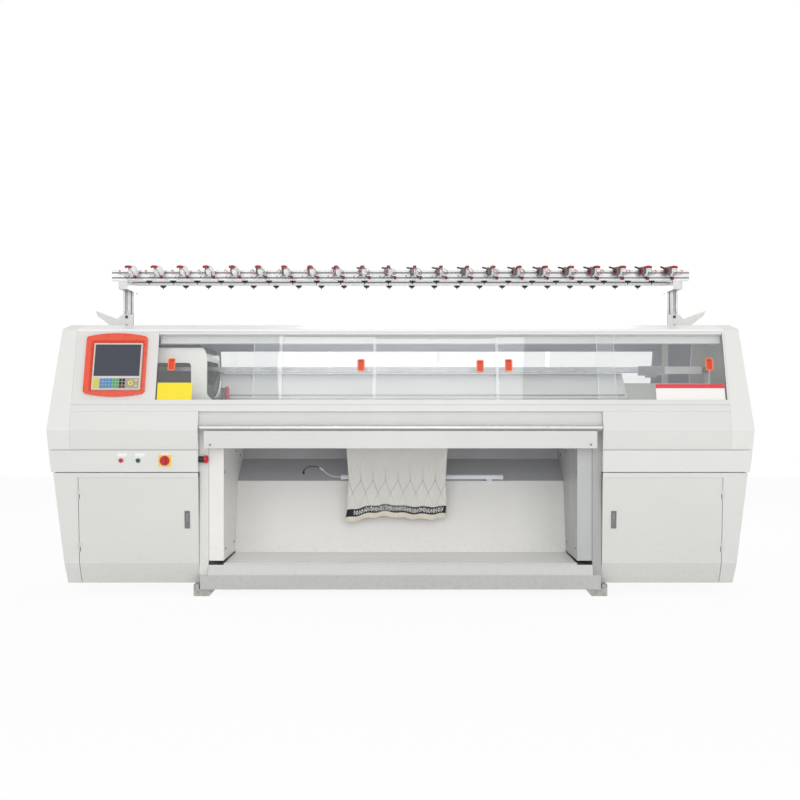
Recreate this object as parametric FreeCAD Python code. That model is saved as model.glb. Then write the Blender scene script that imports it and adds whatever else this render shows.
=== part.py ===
import FreeCAD
import Part
import math
import os

# Flat knitting machine. Sizes are in millimetres. X runs along the machine, Y to the
# rear and Z up. The origin is on the floor, in the middle under the machine.

V = FreeCAD.Vector

# ---------------------------------------------------------------- fits
seam = 0.6              # gap between neighbouring covers
running = 0.1           # radial clearance of pins and shafts
slip = 0.3              # clearance round everything that slides
reach = 3000.0          # longer than any part, for cutting tools

# ---------------------------------------------------------------- cover outline
sheet = 2.5             # cover sheet
skirt_y = 431.0         # lower edge of the upper covers
skirt_z = 744.0
fold_y = 450.0          # fold, the widest line of the covers
fold_z = 847.0
brow_y = 300.0          # upper edge of the window slope
brow_z = 1362.0
roof_y = 150.0          # edge of the flat roof
roof_z = 1393.0
fold_half = 1782.0      # half length of the covers at the fold, then at the other heights
skirt_half = fold_half - 4.0
brow_half = fold_half - 37.0
roof_half = fold_half - 39.0
fold_bend = 22.0        # outer bend radii
brow_bend = 14.0
knob_reach = 12.0       # how far the main switch stands out of the fold line
cap_x = fold_half - 114.0    # seam between end caps and the long covers

band_y = 436.0          # middle band
band_low = 632.0
band_high = 742.0
band_half_high = skirt_half - 2.0
band_half_low = band_half_high - 14.0

cab_top = 628.0         # cabinets
cab_top_y = 430.0
cab_fold = 167.0
cab_fold_y = 400.0
cab_low = 60.0
cab_low_y = 350.0
cab_half_top = band_half_low - 8.0
cab_half_fold = cab_half_top - 48.0
cab_half_low = cab_half_top - 54.0

# ---------------------------------------------------------------- frame and work bay
frame_half = 1021.4     # outer face of the upright plates
upright_t = 8.0
flange_w = 46.0
flange_y = 392.0
upright_top = 870.0
beam_low = 36.0         # floor beams
beam_high = 108.0
beam_front = 415.0
beam_back = 345.0
beam_half = 1015.0
beam_wall = 6.0
cross_tube_w = 80.0
outrigger_h = 50.0
outrigger_w = 40.0
outrigger_y = 250.0
outrigger_reach = cap_x + 12.0
lining_x = 900.0        # side linings of the bay
lining_t = 2.0
lining_top = 760.0
tray_back_y = 6.0
tray_z = 170.0
tray_front_z = 164.0
lip_foot_z = 114.0
chute_knee_y = 97.0     # chute and upper back sheet
chute_knee_z = 550.0
back_y = 311.0
back_z = 662.0
tie_beam = 40.0         # rear tie tube between the uprights
foot_w = 78.0
foot_depth = 90.0
foot_chamfer = 32.0
foot_x = 1050.0

# ---------------------------------------------------------------- sill, windows, bar, apron
sill_low = 95.0         # along the window slope, from the fold
sill_high = 155.0
sill_t = 4.0
sill_lip = 3.0
track_deep = 46.0
lip_s = 524.0           # lower edge of the roof hood
track_top_low = lip_s - 16.0
header_low = lip_s - 50.0     # header beam behind the top track
header_t = 14.0
pane_t = 4.0
pane_pitch = 14.0
pane_first = 10.0
groove_low = 8.0
groove_high = 10.0
window_left = 1244.0
window_right = cap_x - 10.0
pull_w = 38.0
pull_h = 66.0
pull_s = 347.0
pull_rim = 2.0
pull_depth = 6.0
pull_wall = 1.5
window_w = window_left + window_right
pane_cover = 16.0       # how far the end panes reach behind the covers


def across(share):
    """Place along the front windows, from 0 at their left end to 1 at their right end."""
    return window_w * share - window_left


# pane: left edge, right edge, middle of its pull, track
panes = [(across(0) - pane_cover, across(0.22), across(0) + 71.0, 0),
         (across(0.169), across(0.385), across(0.385) - 76.0, 1),
         (across(0.380), across(0.602), across(0.602) - 93.0, 2),
         (across(0.597), across(0.808), across(0.597) + 67.0, 1),
         (across(0.776), across(1) + 4.0, across(1) - 76.0, 0)]
rear_left = -1030.0     # opening for the rear windows
rear_right = 1444.0
rear_low = 170.0
rear_high = 447.0
rear_panes = 4
rear_overlap = 20.0
rear_margin = 15.0      # how far the rear panes reach behind the cover

bar_r = 12.3
bar_wall = 2.0
bar_y = 437.0
bar_z = 856.0
bar_pivot_y = 418.0
bar_arm_x = 1006.0
bar_arm_t = 6.0
bar_cap = 6.0
recess_y = 408.0
apron_top = 839.0
apron_low = 752.0
apron_half = 990.0
apron_sheet = 2.5

# ---------------------------------------------------------------- doors and locks
door_in = 1023.0
jamb_x = cab_half_low - 70.0     # edge of the cabinet's corner strip
door_out = jamb_x - 2.6
door_top = 602.5
door_low = 60.6
door_depth = 20.0
door_skin = 2.0
hinge_r = 4.0
hinge_pin = 2.0
hinge_len = 24.0
hinge_leaf = 1.5
hinge_heights = [60.0, 330.0]   # up the door from its fold
lock_x = 1079.0
lock_s = 223.0          # middle of the lock, up the door from its fold
lock_w = 27.0
lock_h = 90.0
lock_t = 3.0
lever_w = 17.0
lever_h = 46.0
lever_t = 5.0

# ---------------------------------------------------------------- controls
bezel_x = -1455.5
bezel_s = 340.0
bezel_w = 311.0
bezel_h = 307.0
bezel_bulge = 15.0
bezel_t = 16.0
screen_x = -1448.0
screen_s = 333.0
screen_w = 248.0
screen_h = 250.0
screen_t = 6.0
screen_box = 28.0
glass_w = 233.0
glass_low = 280.0
glass_high = 450.0
key_first_x = -1563.0
key_first_s = 216.0
key_pitch_x = 16.4
key_pitch_s = 17.8
key_w = 14.0
key_h = 15.4
key_t = 1.2
pad_x = -1374.0
pad_s = 243.0
pad_r = 13.0
oval_x = -1346.0
control_z = 690.0
red_x = -1409.0
green_x = -1323.0
button_r = 11.0
button_out = 8.0
button_travel = 4.0
collar_r = 15.0
collar_t = 4.0
switch_x = -1188.0
switch_plate_w = 64.0
switch_plate_h = 58.0
switch_plate_t = 3.0
knob_r = 24.0
knob_base = 9.0
grip_w = 12.0
estop_y = 414.0
estop_z = 695.0
estop_r = 20.0
estop_neck = 8.0
estop_collar = 25.0
estop_collar_r = 16.0
estop_travel = 5.0
estop_head = 21.0

# ---------------------------------------------------------------- knitting head
bed_edge_y = 6.0        # half of the gap between the beds
bed_edge_z = 1140.0
bed_angle = 40.0
bed_long = 205.0
bed_t = 25.0
bed_half = 1200.0
slot_y = 30.0           # half of the slot for the cloth between the bed carriers
carrier_half = cap_x
carrier_wall = 10.0
shelf_z = 962.0         # shelf of the guide rails
shelf_y = 222.0
guide_y = 207.0
guide_w = 20.0
guide_h = 26.7
rail_y = [-45.0, -15.0, 15.0, 45.0]
rail_w = 8.0
rail_low = 1145.0
rail_high = 1174.0
rail_half = carrier_half - 8.3
bracket_y = 52.0        # half width of the rails' end brackets
carriage_x = 376.0 - carrier_half    # middle of the carriage at rest
bow_w = 560.0
bow_front = 229.0
bow_rear = 180.0
bow_low = 1038.0
bow_high = 1288.0
bow_wall = 4.0
bow_round = 34.0
bow_corner = 70.0       # rounding of the two top end corners
bow_arch_low = 215.0
bow_arch_rear = 150.0
bow_arch_z = 1200.0
bow_leg = 83.0
bow_window_z = 1190.0
cam_w = 640.0
cam_lift = 1.0          # cam boxes over the needle beds
cam_high = 55.0
cam_from = 48.0
cam_face_y = 225.0
cam_wall = 10.0
cam_top_z = 1075.0
yarn_carrier_x = [rail_half - 309.0, rail_half - 260.0, rail_half - 150.0]
yarn_carrier_rail = [-45.0, -15.0, 15.0]
saddle_w = 18.0
saddle_len = [137.0, 50.0, 50.0]
saddle_low = [rail_low - 17.0, rail_low + 5.0, rail_low + 5.0]
foot_half = [30.0, 6.0, 6.0]
parking_x = rail_half - 237.0   # plate on the front rail where the first carrier stops
parking_len = 200.0
parking_low = rail_low - 8.0
saddle_top = 5.0
pulley_x = carrier_half - 28.0
pulley_z = 1000.0
pulley_r = 38.2
belt_t = 3.0
belt_y = 232.0
belt_w = 20.0
belt_plate_y = 256.0
belt_plate_t = 8.0
shaft_r = 9.5
motor_w = 100.0
case_wall = 2.0
case_w = 490.0          # control box
case_d = 370.0
case_h = 400.0
case_back = 290.0
motor_len = 106.0
roller_r = 25.0
roller_z = 800.0
roller_half = 985.0
journal_r = 10.0

# ---------------------------------------------------------------- cloth, lamp and lead
cloth_t = 3.0
cloth_left = -296.0
cloth_right = 258.0
cloth_top = 1118.0
cloth_hem_left = 329.0
cloth_hem_right = 356.0
nip_wave = 0.2          # wave of the cloth in the rollers' nip
cloth_waves = [0.12, 0.08, 0.11, 0.07, 0.13, 0.09, 0.10, 0.08, 0.12, 0.10]
lamp_left = -328.0
lamp_right = 565.0
lamp_y = 87.2
lamp_z = 573.1
lamp_r = 13.0
lamp_cap_r = 14.5
lamp_cap = 18.0
lead_d = 5.0
lead_points = [(-541.0, 159.0, 604.0), (-529.0, 152.0, 618.0), (-506.0, 142.0, 629.0),
               (-478.0, 131.0, 631.0), (-450.0, 121.0, 624.0), (-427.0, 112.0, 609.0),
               (-406.0, 102.0, 591.0), (-383.0, 93.0, 579.0), (-356.0, 88.4, 574.2)]
inline_from = -450.0    # the inline connector sits on the lead here
connector_r = 5.5
connector_len = 26.0

# ---------------------------------------------------------------- yarn stand
post_x = roof_half - 239.0
post_y = 128.0
prop_back = 298.0       # props that carry the posts from the frame
prop_t = 30.0
prop_low = roof_z - 73.0
prop_high = prop_low + prop_t
post_w = 60.0
post_d = 30.0
post_slot = 8.0
rail_seat = 1645.0      # underside of both yarn rails
front_rail_y = 0.0
front_rail_high = 1700.0
rear_rail_y = 250.0
rear_rail_high = 1678.0
yarn_rail_d = 30.0
cross_arm_h = 46.0
cross_arm_w = 50.0
stand_half = post_x + 62.0
stay_low = 1469.0
stay_r = 2.5
stay_off = 10.0
stay_bolt_r = 8.0
bracket_reach = 153.0   # side brackets, out from the posts
unit_count = 22
unit_first = 63.0 - post_x
unit_pitch = -2 * unit_first / (unit_count - 1)
unit_off = 37.0         # middle of the units in front of the rail
unit_z = 1690.0
unit_turn_first = -62.0
unit_turn_last = 40.0
dome_r = 30.0
dome_deep = 20.0
drum_len = 16.0
plate_w = 44.0
eye_x = 14.0            # wire eye in front of the drum
eye_reach = 75.0
eye_r = 10.0
cup_r = 18.0
cup_deep = 12.0
front_cups = unit_first + 76.0
rear_cups = unit_first + 99.0


# ---------------------------------------------------------------- helpers
def box(x0, x1, y0, y1, z0, z1):
    return Part.makeBox(x1 - x0, y1 - y0, z1 - z0, V(x0, y0, z0))


def cylinder(start, axis, radius, length):
    return Part.makeCylinder(radius, length, V(*start), V(*axis))


def rounded_wire(points, radii):
    """Closed wire through 3-D points with an arc of the given radius at each corner."""
    count = len(points)
    starts, ends, middles = [], [], []
    for i in range(count):
        here = points[i]
        to_prev = (points[i - 1] - here).normalize()
        to_next = (points[(i + 1) % count] - here).normalize()
        if radii[i] <= 0:
            starts.append(here)
            ends.append(here)
            middles.append(None)
            continue
        half = to_prev.getAngle(to_next) / 2
        cut = radii[i] / math.tan(half)
        inward = (to_prev + to_next).normalize()
        centre = here + inward * (radii[i] / math.sin(half))
        starts.append(here + to_prev * cut)
        ends.append(here + to_next * cut)
        middles.append(centre - inward * radii[i])
    edges = []
    for i in range(count):
        if middles[i] is not None:
            edges.append(Part.Arc(starts[i], middles[i], ends[i]).toShape())
        following = starts[(i + 1) % count]
        if ends[i].distanceToPoint(following) > 1e-6:
            edges.append(Part.makeLine(ends[i], following))
    return Part.Wire(edges)


def prism(points, direction, radii=None):
    wire = rounded_wire(points, radii or [0] * len(points))
    return Part.Face(wire).extrude(direction)


def prism_x(points, x0, x1, radii=None):
    """Outline of (y, z) points, extruded along X."""
    return prism([V(x0, y, z) for y, z in points], V(x1 - x0, 0, 0), radii)


def prism_y(points, y0, y1, radii=None):
    """Outline of (x, z) points, extruded along Y."""
    return prism([V(x, y0, z) for x, z in points], V(0, y1 - y0, 0), radii)


def prism_z(points, z0, z1, radii=None):
    """Outline of (x, y) points, extruded along Z."""
    return prism([V(x, y, z0) for x, y in points], V(0, 0, z1 - z0), radii)


def offset_outline(points, distances):
    """Closed outline with each edge moved to its left by its own distance."""
    count = len(points)
    lines = []
    for i in range(count):
        (ax, ay), (bx, by) = points[i], points[(i + 1) % count]
        size = math.hypot(bx - ax, by - ay)
        nx, ny = -(by - ay) / size, (bx - ax) / size
        lines.append((nx, ny, nx * ax + ny * ay + distances[i]))
    moved = []
    for i in range(count):
        a1, b1, c1 = lines[i - 1]
        a2, b2, c2 = lines[i]
        det = a1 * b2 - a2 * b1
        moved.append(((c1 * b2 - c2 * b1) / det, (a1 * c2 - a2 * c1) / det))
    return moved


def band(points, near, far):
    """Outline of a folded sheet: an open line of points, from one offset to another."""
    def shifted(distance):
        normals = []
        for (ax, ay), (bx, by) in zip(points, points[1:]):
            size = math.hypot(bx - ax, by - ay)
            normals.append((-(by - ay) / size, (bx - ax) / size))
        result = []
        for i, (px, py) in enumerate(points):
            nx, ny = normals[max(i - 1, 0)]
            mx, my = normals[min(i, len(normals) - 1)]
            scale = distance / (1 + nx * mx + ny * my)
            result.append((px + (nx + mx) * scale, py + (ny + my) * scale))
        return result
    return shifted(near) + shifted(far)[::-1]


def mirror_x(shape):
    return shape.mirror(V(0, 0, 0), V(1, 0, 0))


def both_sides(shape):
    return [shape, mirror_x(shape)]


def front_and_rear(shape):
    return [shape, shape.mirror(V(0, 0, 0), V(0, 1, 0))]


def fuse(shapes):
    return shapes[0].multiFuse(shapes[1:]).removeSplitter()


def group(shapes):
    solids = []
    for shape in shapes:
        solids.extend(shape.Solids)
    return Part.makeCompound(solids)


def tilted(shape, base_y, base_z, along_y, along_z):
    """Stand a shape, drawn as (x, up, out), on the plane that rises from (base_y, base_z)."""
    angle = math.degrees(math.atan2(along_z, along_y))
    turned = shape.copy()
    turned.Placement = FreeCAD.Placement(V(0, base_y, base_z), FreeCAD.Rotation(V(1, 0, 0), angle))
    return turned


def on_slope(shape):
    return tilted(shape, -fold_y, fold_z, fold_y - brow_y, brow_z - fold_z)


def on_door(shape):
    return tilted(shape, -cab_fold_y, cab_fold, cab_fold_y - cab_top_y, cab_top - cab_fold)


def rounded_block(x, y, width, height, z0, z1, radius):
    """Block with rounded upright edges, centred on (x, y)."""
    w, h = width / 2, height / 2
    points = [(x - w, y - h), (x + w, y - h), (x + w, y + h), (x - w, y + h)]
    return prism_z(points, z0, z1, [radius] * 4)


def write(name, shape):
    shape.exportStep("parts/" + name + ".step")


# ---------------------------------------------------------------- upper covers
def upper_outline(inset):
    """End view of the upper covers; the open bottom edge runs down instead of in."""
    back = knob_reach
    points = [(-skirt_y, skirt_z), (skirt_y + back, skirt_z), (fold_y + back, fold_z),
              (brow_y + back, brow_z), (roof_y, roof_z), (-roof_y, roof_z),
              (-brow_y, brow_z), (-fold_y, fold_z)]
    if inset:
        points = offset_outline(points, [-inset] + [inset] * 7)
    folds = [0, 0, fold_bend, brow_bend, brow_bend, brow_bend, brow_bend, fold_bend]
    return points, [max(r - inset, 0) for r in folds]


def upper_silhouette(inset):
    points = [(-skirt_half, skirt_z), (skirt_half, skirt_z), (fold_half, fold_z),
              (brow_half, brow_z), (roof_half, roof_z), (-roof_half, roof_z),
              (-brow_half, brow_z), (-fold_half, fold_z)]
    if inset:
        points = offset_outline(points, [-inset] + [inset] * 7)
    return points


def upper_body(inset):
    points, folds = upper_outline(inset)
    along = prism_x(points, -reach, reach, folds)
    across = prism_y(upper_silhouette(inset), -reach, reach)
    return along.common(across)


def slope_box(x0, x1, s0, s1, depth):
    """Block on the window slope that reaches a given depth behind it and in front of it."""
    return on_slope(box(x0, x1, s0, s1, -depth, depth))


def rear(shape):
    """Mirror image of a front piece, in its place on the rear."""
    return shape.mirror(V(0, knob_reach / 2, 0), V(0, 1, 0))


cover_in = frame_half + seam
cover_end = cap_x - seam
upper_shell = upper_body(0).cut(upper_body(sheet))


def make_end_caps():
    kept = upper_shell.cut(box(-cap_x, cap_x, -reach, reach, 0, reach))
    write("end_caps", group([kept]))


def low_cover(x0, x1):
    """Front cover between its seam under the sill and its lower edge."""
    part = upper_shell.common(box(x0, x1, -reach, -roof_y, 0, brow_z))
    return part.cut(slope_box(x0, x1, sill_low - seam, reach, track_deep))


def inner_wall(top):
    """Upright sheet that closes a left front cover towards the work bay."""
    points, folds = upper_outline(sheet)
    filled = prism_x(points, -cover_in - sheet, -cover_in, folds)
    filled = filled.common(box(-reach, 0, -reach, -flange_y + 20, skirt_z, top))
    clear = slope_box(-reach, 0, sill_low - seam, reach, 200)
    bearing = cylinder((-reach, -bar_pivot_y, bar_z), (1, 0, 0), bar_arm_t + running, reach)
    return filled.cut(clear).cut(bearing)


def make_head_covers():
    wall = inner_wall(brow_z)
    low = fuse([low_cover(-cover_end, -cover_in), wall])
    high = upper_shell.common(slope_box(-cover_end, -window_left, sill_high + seam, lip_s - seam, 40))
    opening = rounded_block(screen_x, screen_s, screen_w + 2 * slip, screen_h + 2 * slip, -40, 40, 4)
    high = high.cut(on_slope(opening))
    write("left_head_cover", group([low, high]))
    low = fuse([low_cover(cover_in, cover_end), mirror_x(wall)])
    strip = upper_shell.common(slope_box(window_right, cover_end, sill_high + seam, lip_s - seam, 40))
    write("right_head_cover", group([low, strip]))


def make_hood():
    body = upper_shell.common(box(-cover_end, cover_end, -reach, reach, fold_z, reach))
    body = body.cut(slope_box(-reach, reach, -reach, lip_s, 100))
    write("top_hood", body.cut(rear(slope_box(-reach, reach, -reach, lip_s, 100))))


def make_rear_covers():
    """Three upper panels round the opening for the rear windows, and two lower panels."""
    hood = rear(slope_box(-reach, reach, lip_s - seam, reach, 400))
    opening = rear(slope_box(rear_left, rear_right, rear_low, rear_high, 40))
    long_wall = upper_shell.common(box(-cover_end, cover_end, roof_y, reach, 0, reach))
    long_wall = long_wall.cut(hood).cut(opening)
    panels = []
    width = 2 * cover_end / 3
    for i in range(3):
        left = -cover_end + i * width
        panels.append(long_wall.common(box(left, left + width - seam, 0, reach, 0, reach)))
    for x0, x1 in [(-frame_half, -seam / 2), (seam / 2, frame_half)]:
        panels.append(box(x0, x1, flange_y, flange_y + sheet, beam_high + seam, upright_top))
    write("rear_covers", group(panels))


# ---------------------------------------------------------------- middle band and cabinets
def band_body(inset):
    y = band_y - inset
    silhouette = [(-band_half_low, band_low), (band_half_low, band_low),
                  (band_half_high, band_high), (-band_half_high, band_high)]
    if inset:
        silhouette = offset_outline(silhouette, [-inset, inset, -inset, inset])
    return prism_y(silhouette, -y, y)


def make_mid_bands():
    shell = band_body(0).cut(band_body(sheet))
    shell = shell.cut(box(-cover_in, cover_in, -reach, reach, 0, reach))
    wall = box(-cover_in - sheet, -cover_in, -band_y, -flange_y + 20, band_low, band_high)
    left = fuse([shell.common(box(-reach, 0, -reach, reach, 0, reach)), wall])
    right = fuse([shell.common(box(0, reach, -reach, reach, 0, reach)), mirror_x(wall)])
    for x in (red_x, green_x):
        left = left.cut(cylinder((x, -reach, control_z), (0, 1, 0), button_r + slip, reach))
    left = left.cut(cylinder((switch_x, -reach, control_z), (0, 1, 0), knob_r / 4 + running, reach))
    neck = cylinder((-reach, -estop_y, estop_z), (1, 0, 0), estop_neck + slip, reach)
    write("mid_bands", group([left.cut(neck), right]))


def cabinet_body(inset):
    outline = [(-cab_low_y, cab_low), (cab_low_y, cab_low), (cab_fold_y, cab_fold),
               (cab_top_y, cab_top), (-cab_top_y, cab_top), (-cab_fold_y, cab_fold)]
    silhouette = [(-cab_half_low, cab_low), (cab_half_low, cab_low), (cab_half_fold, cab_fold),
                  (cab_half_top, cab_top), (-cab_half_top, cab_top), (-cab_half_fold, cab_fold)]
    if inset:
        distances = [inset, inset, inset, -inset, inset, inset]
        outline = offset_outline(outline, distances)
        silhouette = offset_outline(silhouette, distances)
    along = prism_x(outline, -reach, reach)
    return along.common(prism_y(silhouette, -reach, reach))


def hinge_parts(x, side):
    """Barrel hinges of one door: fixed knuckles with their leaf and pin, and the door's knuckles.

    x is the hinge line, side is +1 where the fixed leaf lies towards +X."""
    fixed, moving = [], []
    out = hinge_r + hinge_leaf / 2
    for s in hinge_heights:
        middle = s + hinge_len
        fixed.append(cylinder((x, s, out), (0, 1, 0), hinge_r, hinge_len - slip / 2))
        fixed.append(cylinder((x, s, out), (0, 1, 0), hinge_pin, 2 * hinge_len))
        moving_part = cylinder((x, middle + slip / 2, out), (0, 1, 0), hinge_r, hinge_len)
        leaf = box(min(x, x - side * 18), max(x, x - side * 18), middle + slip / 2,
                   middle + slip / 2 + hinge_len, 0, hinge_leaf)
        web = box(x - hinge_r, x + hinge_r, middle + slip / 2, middle + slip / 2 + hinge_len,
                  hinge_leaf / 2, out)
        web = web.common(box(min(x - side * hinge_r, x), max(x - side * hinge_r, x), -reach, reach,
                             -reach, reach))
        moving_part = fuse([moving_part, leaf.cut(box(x - 1.2, x + 1.2, -reach, reach, -5, 5)), web])
        hole = cylinder((x, s, out), (0, 1, 0), hinge_pin + running, 3 * hinge_len)
        moving.append(moving_part.cut(hole))
        leaf = box(min(x, x + side * 18), max(x, x + side * 18), s, s + hinge_len - slip / 2,
                   0, hinge_leaf)
        web = box(min(x, x + side * hinge_r), max(x, x + side * hinge_r), s,
                  s + hinge_len - slip / 2, hinge_leaf / 2, out)
        fixed.append(leaf.cut(box(x - 1.2, x + 1.2, -reach, reach, -5, 5)))
        fixed.append(web)
    return fixed, moving


hinge_x = (door_out + jamb_x) / 2


def make_cabinets():
    shell = cabinet_body(0).cut(cabinet_body(sheet))
    shell = shell.cut(box(-cover_in, cover_in, -reach, reach, 0, reach))
    for side in (-1, 1):
        x0, x1 = sorted((side * (cover_in - 1), side * jamb_x))
        shell = shell.cut(box(x0, x1, -reach, -cab_low_y + door_depth + 5, 0, door_top + seam))
    left = shell.common(box(-reach, 0, -reach, reach, 0, reach))
    right = shell.common(box(0, reach, -reach, reach, 0, reach))
    fixed, moving = hinge_parts(-hinge_x, -1)
    left = fuse([left] + [on_door(part) for part in fixed])
    fixed, moving = hinge_parts(hinge_x, 1)
    right = fuse([right] + [on_door(part) for part in fixed])
    write("cabinets", group([left, right]))


def door_line(low, high):
    """Front line of the doors between two heights."""
    def line_y(z):
        if z > cab_fold:
            return -cab_fold_y + (cab_fold_y - cab_top_y) * (z - cab_fold) / (cab_top - cab_fold)
        return -cab_low_y - (cab_fold_y - cab_low_y) * (z - cab_low) / (cab_fold - cab_low)
    return [(line_y(high), high), (-cab_fold_y, cab_fold), (line_y(low), low)]


def make_door(side):
    x0, x1 = sorted((side * door_in, side * door_out))
    tray = prism_x(band(door_line(door_low, door_top), 0, door_depth), x0, x1)
    hollow = band(door_line(door_low + door_skin, door_top - door_skin), door_skin, door_depth + 5)
    tray = tray.cut(prism_x(hollow, x0 + door_skin, x1 - door_skin))
    fixed, moving = hinge_parts(side * hinge_x, side)
    pocket_x = side * lock_x
    plate = rounded_block(pocket_x, lock_s, lock_w, lock_h, 0, lock_t, 4)
    well_s = lock_s + (lock_h - lever_h) / 2 - 6
    well = box(pocket_x - lever_w / 2 - slip, pocket_x + lever_w / 2 + slip,
               well_s - lever_h / 2 - slip, well_s + lever_h / 2 + slip, -lever_t, lock_t + 1)
    housing = box(pocket_x - lock_w / 2 + 2, pocket_x + lock_w / 2 - 2,
                  lock_s - lock_h / 2 + 4, lock_s + lock_h / 2 - 4, -12, 0)
    key = cylinder((pocket_x, lock_s - lock_h / 2 + 16, 0), (0, 0, 1), 7.5, lock_t + 2)
    slot = box(pocket_x - 0.8, pocket_x + 0.8, lock_s - lock_h / 2 + 11, lock_s - lock_h / 2 + 21,
               lock_t + 0.5, lock_t + 3)
    parts = [tray] + [on_door(part) for part in moving] + [on_door(plate), on_door(housing), on_door(key)]
    door = fuse(parts).cut(on_door(well)).cut(on_door(slot))
    pin_s = well_s + lever_h / 2 - 5
    bore = cylinder((pocket_x - lock_w / 2 + 3, pin_s, lock_t - lever_t / 2 - 1), (1, 0, 0), 1.5, lock_w - 6)
    door = door.cut(on_door(bore))
    lever = box(pocket_x - lever_w / 2, pocket_x + lever_w / 2, well_s - lever_h / 2,
                well_s + lever_h / 2 - 2.5, lock_t - lever_t + 0.5, lock_t + 0.5)
    pin = cylinder((pocket_x - lock_w / 2 + 3.5, pin_s, lock_t - lever_t / 2 - 1), (1, 0, 0),
                   1.5 - running, lock_w - 7)
    round_end = cylinder((pocket_x - lever_w / 2, pin_s, lock_t - lever_t / 2 - 1), (1, 0, 0), 2.3, lever_w)
    lever = lever.cut(box(-reach, reach, pin_s, reach, -20, lock_t - lever_t + 1.2))
    lever = fuse([lever, round_end, pin])
    name = "left" if side < 0 else "right"
    write(name + "_door", door)
    write(name + "_lock_lever", on_door(lever))


# ---------------------------------------------------------------- frame
def bed_point(along, out, side=-1):
    """Point of the front (-1) or rear (+1) needle bed: down its face, and out of it."""
    down = math.radians(bed_angle)
    y = bed_edge_y + along * math.cos(down) + out * math.sin(down)
    return (side * y, bed_edge_z - along * math.sin(down) + out * math.cos(down))


def bed_outline():
    under = bed_t / math.cos(math.radians(bed_angle))
    return [(-bed_edge_y, bed_edge_z), bed_point(bed_long, 0), bed_point(bed_long, -bed_t),
            (-bed_edge_y, bed_edge_z - under)]


def bed_carrier_outline():
    low_y, low_z = bed_point(bed_long, -bed_t)
    rise = math.tan(math.radians(bed_angle))
    top = (-slot_y, low_z + (-slot_y - low_y) * rise)
    return [top, (low_y, low_z), (low_y, shelf_z), (-shelf_y, shelf_z), (-shelf_y, shelf_z - 27),
            (low_y + 7, upright_top), (-slot_y, upright_top)]


def tube_x(x0, x1, y0, y1, z0, z1, wall):
    outer = box(x0, x1, y0, y1, z0, z1)
    return outer.cut(box(x0, x1, y0 + wall, y1 - wall, z0 + wall, z1 - wall))


def tube_y(x0, x1, y0, y1, z0, z1, wall):
    outer = box(x0, x1, y0, y1, z0, z1)
    return outer.cut(box(x0 + wall, x1 - wall, y0, y1, z0 + wall, z1 - wall))


def hollow_bed_carrier():
    outline = bed_carrier_outline()
    core = [outline[0], outline[1], (outline[1][0], upright_top), (-slot_y, upright_top)]
    core = offset_outline(core, [carrier_wall] * 4)
    solid = prism_x(outline, -carrier_half, carrier_half)
    return solid.cut(prism_x(core, -carrier_half, carrier_half))


def end_bracket():
    """Upright plate on the ends of both bed carriers, which holds the four carrier rails."""
    top_z = bed_carrier_outline()[0][1]
    side_z = top_z - (bracket_y - slot_y) * math.tan(math.radians(bed_angle))
    outline = [(-bracket_y, side_z), (-slot_y, top_z), (slot_y, top_z), (bracket_y, side_z),
               (bracket_y, rail_high + 5), (-bracket_y, rail_high + 5)]
    return prism_x(outline, -carrier_half, -rail_half)


def make_base_frame():
    parts = front_and_rear(tube_x(-beam_half, beam_half, -beam_front, -beam_back,
                                  beam_low, beam_high, beam_wall))
    web_y = flange_y - upright_t
    web = box(-frame_half, -frame_half + upright_t, -web_y, web_y, beam_high, upright_top)
    for y in (-roller_y, roller_y):
        web = web.cut(cylinder((-reach, y, roller_z), (1, 0, 0), journal_r + running, reach))
    half = [web]
    half += front_and_rear(box(-frame_half, -frame_half + flange_w, -flange_y, -web_y,
                               beam_high, upright_top))
    half.append(tube_y(-frame_half, -frame_half + cross_tube_w, -beam_back, beam_back,
                       beam_low, beam_high, beam_wall))
    arm_low = cab_low + sheet
    half += front_and_rear(tube_x(-outrigger_reach, -frame_half, -outrigger_y - outrigger_w / 2,
                                  -outrigger_y + outrigger_w / 2, arm_low, arm_low + outrigger_h, 4))
    x0, x1 = -post_x - prop_t / 2, -post_x + prop_t / 2
    half.append(box(x0 - 3, x1 + 3, 60, prop_back, upright_top - 12, upright_top))
    half.append(box(x0, x1, prop_back - prop_t, prop_back, upright_top, prop_low))
    half.append(box(x0, x1, post_y - 20, prop_back, prop_low, prop_high))
    half.append(box(x0, x1, post_y - 20, post_y + 20, prop_high, roof_z - sheet))
    x0, x1 = -pulley_x - 50, -pulley_x + 50
    plate_back = belt_plate_y + belt_plate_t
    half.append(box(x0, x1, 60, plate_back, upright_top - 12, upright_top))
    half.append(end_bracket())
    plate = box(x0, x1, belt_plate_y, plate_back, upright_top, pulley_z + 55)
    parts.append(mirror_x(plate))
    parts.append(plate.cut(cylinder((-pulley_x, 0, pulley_z), (0, 1, 0), shaft_r + running, reach)))
    parts.append(cylinder((pulley_x, belt_y, pulley_z), (0, 1, 0), shaft_r, belt_plate_y - belt_y))
    for part in half:
        parts += both_sides(part)
    parts += front_and_rear(hollow_bed_carrier())
    parts += front_and_rear(box(-carrier_half, carrier_half, -guide_y - guide_w / 2,
                                -guide_y + guide_w / 2, shelf_z, shelf_z + guide_h))
    inner = frame_half - upright_t
    parts.append(tube_x(-inner, inner, back_y + lining_t, back_y + lining_t + tie_beam,
                        back_z, back_z + 58, 4))
    write("base_frame", group(parts))


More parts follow.
